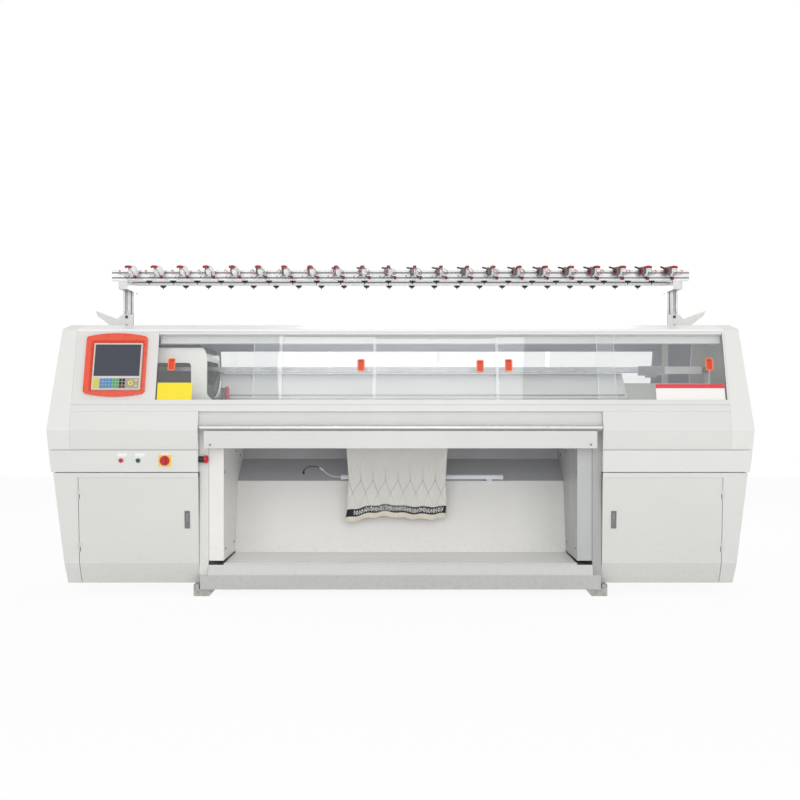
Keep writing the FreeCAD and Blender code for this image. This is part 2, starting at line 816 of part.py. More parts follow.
def make_feet():
    low_corner = foot_x - foot_w
    inner = frame_half + seam
    outline = [(-foot_x, 0), (-low_corner, 0), (-low_corner + foot_chamfer, beam_low),
               (-inner, beam_low), (-inner, cab_low - seam), (-foot_x, cab_low - seam)]
    y0 = -beam_front + 15
    foot = prism_y(outline, y0, y0 + foot_depth)
    feet = []
    for part in front_and_rear(foot):
        feet += both_sides(part)
    write("levelling_feet", group(feet))


# ---------------------------------------------------------------- work bay
def make_bay():
    inner = frame_half - flange_w - seam
    lining = [(-inner, -flange_y + upright_t), (-lining_x, -flange_y + upright_t), (-lining_x, back_y)]
    outline = band(lining, 0, lining_t)
    panel = prism_z(outline, tray_z + 8, lining_top)
    write("side_panels", group(both_sides(panel)))
    wide = lining_x - seam
    front = [(tray_back_y, tray_z), (-flange_y + upright_t, tray_front_z),
             (-beam_front - 1, lip_foot_z), (-beam_front - 1, beam_high)]
    tray = prism_x(band(front, 0, lining_t), -wide, wide)
    lip = [(-flange_y + 10, tray_front_z + 0.3), (-beam_front - 1, lip_foot_z), (-beam_front - 1, beam_high)]
    lip = prism_x(band([(-flange_y - 2, tray_front_z - 6)] + lip[1:], 0, lining_t), -inner, inner)
    write("floor_tray", fuse([tray, lip]))
    back = [(tray_back_y, tray_z + 0.2), (chute_knee_y, chute_knee_z), (back_y, back_z),
            (back_y, back_z + 58)]
    write("back_panel", prism_x(band(back, -lining_t, 0), -wide, wide))


# ---------------------------------------------------------------- window tracks, panes and pulls
def track_height(track):
    return -(pane_first + pane_pitch * track)


def make_tracks():
    """Sill with a raised handle bar over a groove, and the top track with its header beam."""
    bar = sill_high - 25
    outline = [(sill_low, 0), (bar - 3, 0), (bar - 3, -1.5), (bar, -1.5), (bar, sill_lip),
               (sill_high, sill_lip), (sill_high, -track_deep), (sill_high - 15, -track_deep),
               (sill_high - 15, -sill_t), (sill_low, -sill_t)]
    sill = prism([V(-cover_end, s, h) for s, h in outline], V(2 * cover_end, 0, 0))
    left, right = seam - window_left, window_right - seam
    top = box(left, right, track_top_low, lip_s - seam, -track_deep, -sheet)
    header = box(left, right, header_low, lip_s - seam, -track_deep - header_t, -track_deep)
    half = pane_t / 2 + slip
    for track in range(3):
        h = track_height(track)
        sill = sill.cut(box(-cover_end, cover_end, sill_high - groove_low, sill_high + 5, h - half, h + half))
        top = top.cut(box(-reach, reach, track_top_low - 5, track_top_low + groove_high, h - half, h + half))
    write("window_tracks", group([on_slope(sill), on_slope(top.fuse(header))]))


def make_panes():
    for number, (left, right, pull_x, track) in enumerate(panes, start=1):
        h = track_height(track)
        outer, inner = h + pane_t / 2, h - pane_t / 2
        pane = box(left, right, sill_high - groove_low + slip, track_top_low + groove_high - slip,
                   inner, outer)
        cup_w, cup_h = pull_w - 8, pull_h - 8
        pane = pane.cut(rounded_block(pull_x, pull_s, cup_w, cup_h, inner - 1, outer + 1, 5))
        rim = rounded_block(pull_x, pull_s, pull_w, pull_h, outer, outer + pull_rim, 8)
        cup = rounded_block(pull_x, pull_s, cup_w, cup_h, inner - pull_depth, outer + pull_rim, 5)
        well = rounded_block(pull_x, pull_s, cup_w - 2 * pull_wall, cup_h - 2 * pull_wall,
                             inner - pull_depth + pull_wall, outer + pull_rim + 1, 5 - pull_wall)
        write("window_pane_%d" % number, on_slope(pane))
        write("window_pull_%d" % number, on_slope(rim.fuse(cup).cut(well)))


def make_rear_panes():
    """Clear sheets in two layers against the inside of the rear cover."""
    first, last = rear_left - rear_margin, rear_right + rear_margin
    step = (last - first) / rear_panes
    sheets = []
    for i in range(rear_panes):
        outer = -sheet - pane_t * (i % 2)
        left = first + i * step
        right = min(left + step + rear_overlap, last)
        sheets.append(box(left, right, rear_low - rear_margin, rear_high + rear_margin,
                          outer - pane_t, outer))
    write("rear_windows", group([rear(on_slope(part)) for part in sheets]))


# ---------------------------------------------------------------- bar and apron
def make_bar_and_apron():
    tube = cylinder((-bar_arm_x - bar_arm_t, -bar_y, bar_z), (1, 0, 0), bar_r, 2 * (bar_arm_x + bar_arm_t))
    bore = cylinder((-bar_arm_x, -bar_y, bar_z), (1, 0, 0), bar_r - bar_wall, 2 * bar_arm_x)
    cap = cylinder((bar_arm_x + bar_arm_t, -bar_y, bar_z), (1, 0, 0), bar_r + 0.2, bar_cap)
    parts = [tube.cut(bore), cap]
    arm = box(-bar_arm_x - bar_arm_t, -bar_arm_x, -bar_y, -bar_pivot_y, bar_z - 6, bar_z + 6)
    boss = cylinder((-bar_arm_x - bar_arm_t, -bar_pivot_y, bar_z), (1, 0, 0), 7, bar_arm_t)
    pin = cylinder((-cover_in - sheet, -bar_pivot_y, bar_z), (1, 0, 0), bar_arm_t,
                   cover_in + sheet - bar_arm_x)
    for part in (arm, boss, pin):
        parts += both_sides(part)
    write("operating_bar", fuse(parts))
    sill_foot = fold_z + sill_low * (brow_z - fold_z) / math.hypot(fold_y - brow_y, brow_z - fold_z)
    line = [(-recess_y, sill_foot - 1.6), (-recess_y, apron_top), (-fold_y + 0.5, apron_top),
            (-fold_y + 0.5, apron_low), (-fold_y + 20, apron_low)]
    panel = prism_x(band(line, 0, apron_sheet), -frame_half, frame_half)
    shelf = box(-apron_half, apron_half, -recess_y, -flange_y, apron_top, apron_top + apron_sheet)
    ends = box(apron_half, reach, -reach, -recess_y - apron_sheet - 1, 0, apron_top + 8)
    write("apron", fuse([panel, shelf]).cut(ends).cut(mirror_x(ends)))


# ---------------------------------------------------------------- controls
def make_control_panel():
    w, h = bezel_w / 2, bezel_h / 2
    low, high = bezel_s - h, bezel_s + h
    left, right = bezel_x - w, bezel_x + w
    round_r = 16
    edges = [Part.makeLine(V(right, low + round_r, 0), V(right, high - round_r, 0)),
             Part.Arc(V(right - round_r, high, 0), V(bezel_x, high + bezel_bulge, 0),
                      V(left + round_r, high, 0)).toShape(),
             Part.makeLine(V(left, high - round_r, 0), V(left, low + round_r, 0)),
             Part.Arc(V(left + round_r, low, 0), V(bezel_x, low - bezel_bulge, 0),
                      V(right - round_r, low, 0)).toShape()]
    lean = round_r * (1 - math.sqrt(0.5))
    for x, s, sx, sy in ((right, high, 1, 1), (left, high, -1, 1), (left, low, -1, -1), (right, low, 1, -1)):
        edges.append(Part.Arc(V(x, s - sy * round_r, 0), V(x - sx * lean, s - sy * lean, 0),
                              V(x - sx * round_r, s, 0)).toShape())
    outline = Part.Wire(Part.__sortEdges__(edges))
    slab = Part.Face(outline).extrude(V(0, 0, bezel_t))
    rings = []
    for grow, height, radius in ((2, 0, 6), (12, bezel_t, 10)):
        w, h = screen_w / 2 + grow, screen_h / 2 + grow
        corners = [V(screen_x + x, screen_s + y, height) for x, y in ((-w, -h), (w, -h), (w, h), (-w, h))]
        rings.append(rounded_wire(corners, [radius] * 4))
    well = Part.makeLoft(rings, True, True)
    write("panel_bezel", on_slope(slab.cut(well)))
    face = rounded_block(screen_x, screen_s, screen_w, screen_h, -screen_box, screen_t, 4)
    glass = box(screen_x - glass_w / 2, screen_x + glass_w / 2, glass_low, glass_high, screen_t, screen_t + 1)
    keys = []
    for column in range(10):
        for row in range(3):
            x = key_first_x + key_pitch_x * column
            s = key_first_s + key_pitch_s * row
            keys.append(box(x, x + key_w, s, s + key_h, screen_t, screen_t + key_t))
    keys.append(cylinder((pad_x, pad_s, screen_t), (0, 0, 1), pad_r, key_t))
    for s in (pad_s - 15, pad_s + 15):
        keys.append(rounded_block(oval_x, s, 16, 9, screen_t, screen_t + key_t, 4.4))
    write("display_panel", on_slope(fuse([face, glass] + keys)))


def make_switches():
    front = -band_y
    bases, plate_front = [], front - switch_plate_t
    for name, x in (("red_button", red_x), ("green_button", green_x)):
        ring = cylinder((x, front - collar_t, control_z), (0, 1, 0), collar_r, collar_t)
        bases.append(ring.cut(cylinder((x, front - 9, control_z), (0, 1, 0), button_r + slip, 10)))
        cap = cylinder((x, front - button_out, control_z), (0, 1, 0), button_r, button_out + 12)
        write(name, cap.makeFillet(1.5, [cap.Edges[0]]) if len(cap.Edges) else cap)
    plate = box(switch_x - switch_plate_w / 2, switch_x + switch_plate_w / 2, plate_front, front,
                control_z - switch_plate_h / 2, control_z + switch_plate_h / 2)
    stem_r = knob_r / 4
    bases.append(plate.cut(cylinder((switch_x, front - 9, control_z), (0, 1, 0), stem_r + running, 10)))
    disc = cylinder((switch_x, plate_front - slip - knob_base, control_z), (0, 1, 0), knob_r, knob_base)
    tip = -fold_y - knob_reach
    grip = box(switch_x - grip_w / 2, switch_x + grip_w / 2, tip, plate_front - slip,
               control_z - knob_r + 2, control_z + knob_r - 2)
    stem = cylinder((switch_x, plate_front - slip - 1, control_z), (0, 1, 0), stem_r, 14)
    write("switch_knob", fuse([disc, grip, stem]))
    wall_x = -cover_in
    collar = cylinder((wall_x, -estop_y, estop_z), (1, 0, 0), estop_collar_r, estop_collar)
    neck_hole = cylinder((wall_x - 5, -estop_y, estop_z), (1, 0, 0), estop_neck + slip, 60)
    bases.append(collar.cut(neck_hole))
    write("switch_bases", group(bases))
    head_x = wall_x + estop_collar + estop_travel + slip
    head = cylinder((head_x, -estop_y, estop_z), (1, 0, 0), estop_r, estop_head)
    crown = Part.makeSphere(estop_r * 1.5, V(head_x + estop_head - estop_r * 1.5, -estop_y, estop_z))
    neck = cylinder((wall_x + 2, -estop_y, estop_z), (1, 0, 0), estop_neck, head_x - wall_x)
    write("estop_head", fuse([head.common(crown), neck]))


# ---------------------------------------------------------------- knitting head
roller_y = roller_r + cloth_t / 2 + nip_wave + slip


def make_beds_and_rails():
    bed = prism_x(bed_outline(), -bed_half, bed_half)
    write("front_needle_bed", bed)
    write("rear_needle_bed", bed.mirror(V(0, 0, 0), V(0, 1, 0)))
    rails = [box(-rail_half, rail_half, y - rail_w / 2, y + rail_w / 2, rail_low, rail_high) for y in rail_y]
    front = rail_y[0] - rail_w / 2
    parking = box(parking_x, parking_x + parking_len, front - 3, front, parking_low, rail_high + 3)
    rails[0] = fuse([rails[0], parking])
    write("carrier_rails", group(rails))


def cam_outline():
    return [bed_point(cam_from, cam_lift), bed_point(cam_from, cam_high), (-cam_face_y, cam_top_z),
            (-cam_face_y, shelf_z + guide_h + slip), (-cam_face_y + 43, shelf_z + guide_h + slip),
            bed_point(bed_long + 7, cam_lift)]


def make_carriage():
    middle = carriage_x
    left, right = middle - bow_w / 2, middle + bow_w / 2
    outside = cam_outline()
    cams = prism_x(outside, middle - cam_w / 2, middle + cam_w / 2)
    core = offset_outline(outside, [cam_wall, cam_wall, cam_wall, cam_wall, cam_wall, -cam_wall])
    core = prism_x(core, middle - cam_w / 2 + cam_wall, middle + cam_w / 2 - cam_wall)
    cams = front_and_rear(cams.cut(core))
    outline = [(-bow_front, bow_low), (bow_rear, bow_low), (bow_rear, bow_high), (-bow_front, bow_high)]
    bow = prism_x(outline, left, right, [0, 0, bow_round, bow_round])
    ends = [(left, bow_low), (right, bow_low), (right, bow_high), (left, bow_high)]
    bow = bow.common(prism_y(ends, -reach, reach, [0, 0, bow_corner, bow_corner]))
    inner = offset_outline(outline, [-bow_wall] + [bow_wall] * 3)
    inner_round = bow_round - bow_wall
    hollow = prism_x(inner, left + bow_wall, right - bow_wall, [0, 0, inner_round, inner_round])
    ends = offset_outline(ends, [-bow_wall] + [bow_wall] * 3)
    inner_corner = bow_corner - bow_wall
    hollow = hollow.common(prism_y(ends, -reach, reach, [0, 0, inner_corner, inner_corner]))
    bow = bow.cut(hollow)
    bow = bow.cut(box(left - 5, right + 5, -bow_arch_low, bow_arch_rear, 0, bow_arch_z))
    window = [(left + bow_leg, 0), (right - bow_leg, 0), (right - bow_leg, bow_window_z),
              (left + bow_leg, bow_window_z)]
    bow = bow.cut(prism_y(window, -reach, -bow_front + bow_wall + 1, [0, 0, 18, 18]))
    for cam in cams:
        bow = bow.cut(cam)
    write("carriage_cover", bow)
    run = pulley_z + pulley_r + slip
    clamp_low = box(middle - 40, middle + 40, cam_face_y, belt_y + belt_w - 2, run - 9, run - slip)
    clamp_high = box(middle - 40, middle + 40, cam_face_y, belt_y + belt_w - 2,
                     run + belt_t + slip, run + belt_t + 8)
    clamp_back = box(middle - 40, middle + 40, cam_face_y, belt_y - slip, run - 9, run + belt_t + 8)
    rear = fuse([cams[1], clamp_low, clamp_high, clamp_back])
    write("carriage_cam_boxes", group([cams[0], rear]))


def make_yarn_carriers():
    for number, (x, y) in enumerate(zip(yarn_carrier_x, yarn_carrier_rail), start=1):
        x0, x1 = x - saddle_len[number - 1] / 2, x + saddle_len[number - 1] / 2
        half, low = foot_half[number - 1], saddle_low[number - 1]
        saddle = box(x0, x1, y - saddle_w / 2, y + saddle_w / 2, low, rail_high + saddle_top)
        saddle = saddle.cut(box(x0 - 1, x1 + 1, y - rail_w / 2 - slip, y + rail_w / 2 + slip,
                                0, rail_high + slip))
        inward = -1 if y > 0 else 1
        if abs(y) < 30:
            near = y + inward * saddle_w / 2
            y0, y1 = sorted((near, near + inward * 3))
            arm = [box(x - half, x + half, y0, y1, bed_edge_z + 2.5, rail_high)]
        else:
            flat = [bed_point(2, 3), bed_point(2, 6), bed_point(40, 6), bed_point(40, 3)]
            arm = [prism_x(flat, x - half, x + half),
                   box(x - half, x + half, y + 4.6, y + 7.6, bed_point(40, 4)[1], rail_low + 20)]
        write("yarn_carrier_%d" % number, fuse([saddle] + arm))


def belt_loop(radius):
    ends = [cylinder((x, belt_y, pulley_z), (0, 1, 0), radius, belt_w) for x in (-pulley_x, pulley_x)]
    middle = box(-pulley_x, pulley_x, belt_y, belt_y + belt_w, pulley_z - radius, pulley_z + radius)
    return fuse(ends + [middle])


def make_drive():
    inner = pulley_r + slip
    write("drive_belt", belt_loop(inner + belt_t).cut(belt_loop(inner)))
    wheel = cylinder((-pulley_x, belt_y, pulley_z), (0, 1, 0), pulley_r, belt_w)
    shaft = cylinder((-pulley_x, belt_y, pulley_z), (0, 1, 0), shaft_r, belt_plate_y + 40 - belt_y)
    write("drive_pulley", fuse([wheel, shaft]))
    wheel = cylinder((pulley_x, belt_y, pulley_z), (0, 1, 0), pulley_r, belt_w)
    write("idler_pulley", wheel.cut(cylinder((pulley_x, 0, pulley_z), (0, 1, 0), shaft_r + running, reach)))
    face = belt_plate_y + belt_plate_t
    half = motor_w / 2
    body = box(-pulley_x - half, -pulley_x + half, face, face + motor_len, pulley_z - half, pulley_z + half)
    body = body.cut(cylinder((-pulley_x, face - 1, pulley_z), (0, 1, 0), shaft_r + running, 40))
    write("drive_motor", body)
    floor = cab_low + sheet + outrigger_h
    x0, x1 = 68.0 - carrier_half, 68.0 - carrier_half + case_w
    y0, wall = case_back - case_d, case_wall
    case = box(x0, x1, y0, case_back, floor, floor + case_h)
    case = case.cut(box(x0 + wall, x1 - wall, y0 + wall, case_back - wall, floor + wall,
                        floor + case_h - wall))
    port = rounded_block((x0 + x1) / 2, case_back - 60, 120, 50, floor + case_h - 10, floor + case_h + 10, 10)
    write("control_box", case.cut(port))


def make_rollers():
    for name, y in (("take_down_roller", roller_y), ("pinch_roller", -roller_y)):
        drum = cylinder((-roller_half, y, roller_z), (1, 0, 0), roller_r, 2 * roller_half)
        journal = cylinder((-frame_half, y, roller_z), (1, 0, 0), journal_r, 2 * frame_half)
        write(name, fuse([drum, journal]))


# ---------------------------------------------------------------- cloth, lamp and lead
def cloth_section(left_z, right_z, wave, thickness):
    """Closed wire across the cloth: arcs that bulge in turn to the front and to the rear."""
    width = cloth_right - cloth_left
    xs = [cloth_left]
    for share in cloth_waves:
        xs.append(xs[-1] + share * width)

    def at(x, y):
        return V(x, y, left_z + (right_z - left_z) * (x - cloth_left) / width)
    half = thickness / 2
    edges = []
    count = len(cloth_waves)
    for i in range(count):
        bulge = wave if i % 2 else -wave
        middle = (xs[i] + xs[i + 1]) / 2
        edges.append(Part.Arc(at(xs[i], -half), at(middle, bulge - half), at(xs[i + 1], -half)).toShape())
    edges.append(Part.makeLine(at(xs[-1], -half), at(xs[-1], half)))
    for i in reversed(range(count)):
        bulge = wave if i % 2 else -wave
        middle = (xs[i] + xs[i + 1]) / 2
        edges.append(Part.Arc(at(xs[i + 1], half), at(middle, bulge + half), at(xs[i], half)).toShape())
    edges.append(Part.makeLine(at(xs[0], half), at(xs[0], -half)))
    return Part.Wire(edges)


def make_cloth():
    nip_end = roller_z - roller_r * 0.6
    levels = [(cloth_top, cloth_top, nip_wave), (nip_end, nip_end, nip_wave), (620, 620, 4.0),
              (470, 478, 8.0), (cloth_hem_left, cloth_hem_right, 13.0)]
    sections = [cloth_section(a, b, wave, cloth_t) for a, b, wave in levels]
    write("knitted_cloth", Part.makeLoft(sections, True, True))


def route(points):
    """Wire of straight runs joined by tangent arcs, each as large as its two runs allow."""
    corners = [V(*p) for p in points]
    edges = []
    last = corners[0]
    radii = []
    for before, here, after in zip(corners, corners[1:], corners[2:]):
        back = (before - here)
        forth = (after - here)
        shorter = min(back.Length, forth.Length)
        back.normalize()
        forth.normalize()
        half_turn = (math.pi - back.getAngle(forth)) / 2
        radius = 0.45 * shorter / math.tan(half_turn)
        radii.append(round(radius, 1))
        cut = radius * math.tan(half_turn)
        start, end = here + back * cut, here + forth * cut
        bisector = (back + forth).normalize()
        middle = here + bisector * (radius / math.cos(half_turn) - radius)
        edges.append(Part.makeLine(last, start))
        edges.append(Part.Arc(start, middle, end).toShape())
        last = end
    edges.append(Part.makeLine(last, corners[-1]))
    print("lead radii", radii, "least", min(radii))
    return Part.Wire(edges)


def panel_out(y, z, out):
    """Point of the upper back sheet's face, moved out of it."""
    along = math.hypot(back_y - chute_knee_y, back_z - chute_knee_z)
    return (y - out * (back_z - chute_knee_z) / along, z + out * (back_y - chute_knee_y) / along)


def make_lamp_and_lead():
    tube = cylinder((lamp_left, -0, 0), (1, 0, 0), lamp_r, lamp_right - lamp_left)
    tube.translate(V(0, lamp_y, lamp_z))
    caps = []
    for x in (lamp_left, lamp_right - lamp_cap):
        caps.append(cylinder((x, lamp_y, lamp_z), (1, 0, 0), lamp_cap_r, lamp_cap))
    base_low = panel_out(chute_knee_y, chute_knee_z, 0)
    rise_y, rise_z = back_y - chute_knee_y, back_z - chute_knee_z
    size = math.hypot(rise_y, rise_z)
    ay, az = rise_y / size, rise_z / size
    corners = []
    for along, out in ((0.5, 0), (14, 0), (14, 16), (-5, 16), (-5, 12)):
        corners.append((base_low[0] + ay * along - az * out, base_low[1] + az * along + ay * out))
    clips = []
    for x in (lamp_left + 60, lamp_right - 90, (lamp_left + lamp_right) / 2):
        clips.append(prism_x(corners, x, x + 30))
    write("lamp", fuse([tube] + caps + clips))
    first = lead_points[0]
    start_y, start_z = first[1], first[2]
    rise = rise_z / rise_y
    drop = (start_z - (chute_knee_z + (start_y - chute_knee_y) * rise)) * ay
    foot = (first[0], start_y + drop * az, start_z - drop * ay)
    points = [foot] + lead_points + [(lamp_left, lamp_y, lamp_z)]
    wire = route(points)
    direction = V(*points[1]) - V(*points[0])
    circle = Part.Wire(Part.makeCircle(lead_d / 2, V(*points[0]), direction))
    lead = wire.makePipeShell([circle], True, False)
    print("lead length", round(wire.Length, 1), "volume ratio",
          round(lead.Volume / (wire.Length * math.pi * lead_d ** 2 / 4), 4))
    at = [V(*p) for p in points if p[0] == inline_from][0]
    after = [V(*p) for p in points if p[0] > inline_from][0]
    along = (after - at).normalize()
    sleeve_start = (at + after) * 0.5 - along * (connector_len / 2)
    sleeve = Part.makeCylinder(connector_r, connector_len, sleeve_start, along)
    write("lamp_cord", fuse([lead, sleeve]))


# ---------------------------------------------------------------- yarn stand
arm_low = rail_seat - cross_arm_h


def slotted_post(x):
    front, back = post_y - post_d / 2, post_y + post_d / 2
    post = box(x - post_w / 2, x + post_w / 2, front, back, roof_z, arm_low)
    for offset in (-post_w / 4, post_w / 4):
        for y0, y1 in ((front - 1, front + 6), (back - 6, back + 1)):
            post = post.cut(box(x + offset - post_slot / 2, x + offset + post_slot / 2, y0, y1,
                                roof_z - 1, arm_low + 1))
    return post


def yarn_rail(y, high, slots):
    rail = box(-stand_half, stand_half, y - yarn_rail_d / 2, y + yarn_rail_d / 2, rail_seat, high)
    for z in slots:
        for face in (-1, 1):
            y0, y1 = sorted((y + face * (yarn_rail_d / 2 - 6), y + face * (yarn_rail_d / 2 + 1)))
            rail = rail.cut(box(-reach, reach, y0, y1, z - post_slot / 2, z + post_slot / 2))
    return rail


def make_stand():
    front = post_y - post_d / 2
    post = slotted_post(-post_x)
    base = box(-post_x - 45, -post_x + 45, post_y - 20, post_y + 20, roof_z, roof_z + 6)
    plate_y = front - 6
    outer = -post_x - post_w / 2
    low, shelf = roof_z + 6, stay_low + 1
    gusset = prism_y([(outer - bracket_reach, shelf + 21), (outer - bracket_reach + 12, shelf - 9),
                      (outer - bracket_reach + 43, shelf - 30), (outer - 61, low), (outer + 56, low),
                      (outer + 56, shelf), (outer - 5, shelf), (outer - 33, shelf - 24)], plate_y, front)
    arm = box(-post_x - cross_arm_w / 2, -post_x + cross_arm_w / 2, front_rail_y - yarn_rail_d / 2,
              rear_rail_y + yarn_rail_d / 2, arm_low, rail_seat)
    stay_x = -post_x - stay_off
    rod = cylinder((stay_x, plate_y + stay_r, stay_low), (0, 0, 1), stay_r, arm_low - stay_low)
    bolt_z = (stay_low - 12, low + stay_bolt_r)
    bolts = [cylinder((stay_x, plate_y - 5, z), (0, 1, 0), stay_bolt_r, 6) for z in bolt_z]
    side = fuse([post, base, gusset, arm, rod] + bolts)
    write("stand_posts", group(both_sides(side)))
    upper = yarn_rail(front_rail_y, front_rail_high, (rail_seat + 14, front_rail_high - 14))
    lower = yarn_rail(rear_rail_y, rear_rail_high, ((rail_seat + rear_rail_high) / 2,))
    write("yarn_rails", group([upper, lower]))


def unit_places():
    for i in range(unit_count):
        turn = unit_turn_first + (unit_turn_last - unit_turn_first) * i / (unit_count - 1)
        yield i, unit_first + i * unit_pitch, turn


def make_units():
    """Yarn tension units: a drum with a domed cap on one side and a square plate on the other."""
    front = front_rail_y - yarn_rail_d / 2
    unit_y = front - unit_off
    drum = cylinder((-drum_len / 2, 0, 0), (1, 0, 0), dome_r * 0.72, drum_len)
    ball = (dome_r ** 2 + dome_deep ** 2) / (2 * dome_deep)
    dome = Part.makeSphere(ball, V(drum_len / 2 + dome_deep - ball, 0, 0))
    dome = dome.common(box(drum_len / 2, 100, -60, 60, -60, 60))
    plate = box(-drum_len / 2 - 5, -drum_len / 2, -plate_w / 2, plate_w / 2, -plate_w / 2, plate_w / 2)
    body = fuse([drum, dome, plate])
    drum_side = drum_len / 2
    lever = box(drum_side, drum_side + 12, -dome_r - 26, -dome_r / 2, dome_r * 0.55, dome_r * 0.95)
    horn = box(-drum_side - 30, -drum_side + 4, dome_r * 0.45, dome_r * 0.72, dome_r * 0.45, dome_r * 0.75)
    stem = cylinder((2, 0, -dome_r * 0.55), (0.9, 0, -0.436), 3, 42)
    knob = Part.makeSphere(9, V(dome_r + 10, 0, -dome_r - 5))
    eye = Part.makeTorus(eye_r, 1.8, V(eye_x, -eye_reach, -eye_r), V(0, 1, 0))
    arm = cylinder((eye_x, -4, -2 * eye_r), (0, -1, 0), 2, eye_reach - 4)
    trim = [lever, horn, fuse([stem, knob]), fuse([arm, eye])]
    solids = []
    for i, x, turn in unit_places():
        spin = FreeCAD.Placement(V(x, unit_y, unit_z), FreeCAD.Rotation(V(0, 0, 1), turn))
        placed = body.copy()
        placed.Placement = spin
        stub = cylinder((x, unit_y, unit_z - 4), (0, 1, 0), 7, front - unit_y)
        placed = placed.fuse(stub)
        for part in trim:
            copy = part.copy()
            copy.Placement = spin
            placed = placed.fuse(copy)
        solids.append(placed)
    write("tension_units", group(solids))
    guides = []
    bowl_r = (cup_r ** 2 + cup_deep ** 2) / (2 * cup_deep)
    for y, first in ((front_rail_y, front_cups), (rear_rail_y, rear_cups)):
        rim = rail_seat - 2
        bowl = Part.makeSphere(bowl_r, V(first, y, rim - cup_deep + bowl_r))
        bowl = bowl.common(box(first - cup_r - 1, first + cup_r + 1, y - cup_r - 1, y + cup_r + 1,
                               rim - cup_deep - 1, rim))
        neck = cylinder((first, y, rim - 2), (0, 0, 1), 6, rail_seat - rim + 2)
        tip = cylinder((first, y, rim - cup_deep - 6), (0, 0, 1), 2.5, 8)
        guide = fuse([bowl, neck, tip])
        for i in range(unit_count):
            copy = guide.copy()
            copy.translate(V(-2 * first * i / (unit_count - 1), 0, 0))
            guides.append(copy)
    write("yarn_guides", group(guides))


# ---------------------------------------------------------------- screws
def make_screws():
    heads = []
    low, high = tray_z + 62, lining_top - 41
    for y, z in ((-357, high - 92), (-317, low), (-32, low), (23, high), (200, high - 29)):
        for part in both_sides(cylinder((-lining_x, y, z), (1, 0, 0), 6, 3)):
            heads.append(part)
    for x in (32 - apron_half, apron_half - 32):
        heads.append(cylinder((x, -fold_y + 0.5 - 3, apron_low + 18), (0, 1, 0), 6, 3))
    write("cover_screws", group(heads))


os.makedirs("parts", exist_ok=True)
make_end_caps()
make_head_covers()
make_hood()
make_rear_covers()
make_mid_bands()
make_cabinets()
make_door(-1)
make_door(1)
make_base_frame()
make_feet()
make_bay()
make_tracks()
make_panes()
make_rear_panes()
make_bar_and_apron()
make_control_panel()
make_switches()
make_beds_and_rails()
make_carriage()
make_yarn_carriers()
make_drive()
make_rollers()
make_cloth()
make_lamp_and_lead()
make_stand()
make_units()
make_screws()
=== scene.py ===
import bmesh
import bpy
import math
import numpy as np
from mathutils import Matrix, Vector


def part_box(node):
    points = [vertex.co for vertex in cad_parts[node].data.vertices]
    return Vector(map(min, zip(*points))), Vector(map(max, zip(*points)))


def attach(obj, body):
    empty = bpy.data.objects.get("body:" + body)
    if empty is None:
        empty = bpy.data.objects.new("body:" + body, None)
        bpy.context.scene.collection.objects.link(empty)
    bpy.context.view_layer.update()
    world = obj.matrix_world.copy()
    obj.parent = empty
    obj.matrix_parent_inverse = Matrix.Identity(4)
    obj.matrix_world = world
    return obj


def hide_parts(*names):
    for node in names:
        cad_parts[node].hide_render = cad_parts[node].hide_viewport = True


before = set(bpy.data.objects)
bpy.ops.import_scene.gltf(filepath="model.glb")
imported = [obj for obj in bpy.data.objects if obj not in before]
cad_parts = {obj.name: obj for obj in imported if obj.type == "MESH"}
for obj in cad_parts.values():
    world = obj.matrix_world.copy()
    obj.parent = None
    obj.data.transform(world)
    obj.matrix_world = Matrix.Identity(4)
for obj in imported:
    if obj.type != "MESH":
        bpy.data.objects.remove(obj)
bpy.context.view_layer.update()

# ======== studio
# A white room: an even white surround, five large soft lamps and a pale floor.
# The camera stands in front of the machine, at the height of its windows.
scene = bpy.context.scene
scene.view_settings.view_transform = "Standard"


def rgb(red, green, blue):
    """A screen colour from 0 to 255, as the linear colour that shaders take."""
    values = np.array([red, green, blue]) / 255
    linear = np.where(values <= 0.04045, values / 12.92, ((values + 0.055) / 1.055) ** 2.4)
    return (*[float(v) for v in linear], 1.0)


def add(tree, kind, inputs=None, **settings):
    """One node. Settings are its properties, inputs its values or the sockets that feed it."""
    made = tree.nodes.new("ShaderNode" + kind)
    for name, value in settings.items():
        setattr(made, name, value)
    for name, value in (inputs or {}).items():
        if isinstance(value, bpy.types.NodeSocket):
            tree.links.new(value, made.inputs[name])
        else:
            made.inputs[name].default_value = value
    return made


def maths(tree, operation, a, b=0.0, clamp=False):
    return add(tree, "Math", {0: a, 1: b}, operation=operation, use_clamp=clamp).outputs[0]


camera = bpy.data.cameras.new("camera")
camera.lens = 50.1
camera.shift_x = -0.000625
camera.shift_y = 0.00625
stand = bpy.data.objects.new("camera", camera)
stand.location = (0, -6.05, 0.97)
stand.rotation_euler = (math.pi / 2, 0, 0)
scene.collection.objects.link(stand)
scene.camera = stand


def lamp(name, place, target, power, size):
    """A square lamp at a place, turned to face its target."""
    light = bpy.data.lights.new(name, "AREA")
    light.energy = power
    light.size = size
    holder = bpy.data.objects.new(name, light)
    aim = np.array(target, float) - np.array(place, float)
    turn = math.atan2(-aim[0], aim[1])
    tip = math.atan2(math.hypot(aim[0], aim[1]), -aim[2])
    holder.location = place
    holder.rotation_euler = (tip, 0, turn)
    scene.collection.objects.link(holder)


lamp("key_lamp", (-2.8, -6.0, 2.3), (0, 0, 0.8), 36, 2.6)
lamp("fill_lamp", (3.2, -6.2, 1.5), (0, 0, 0.7), 37, 2.4)
lamp("high_lamp", (0.0, -5.4, 4.6), (0, 0, 1.0), 44, 2.6)
lamp("low_lamp", (0.0, -6.8, 0.7), (0, 0, 0.6), 56, 2.4)
lamp("back_lamp", (0.6, 4.2, 3.0), (0, 0, 1.1), 95, 3.0)


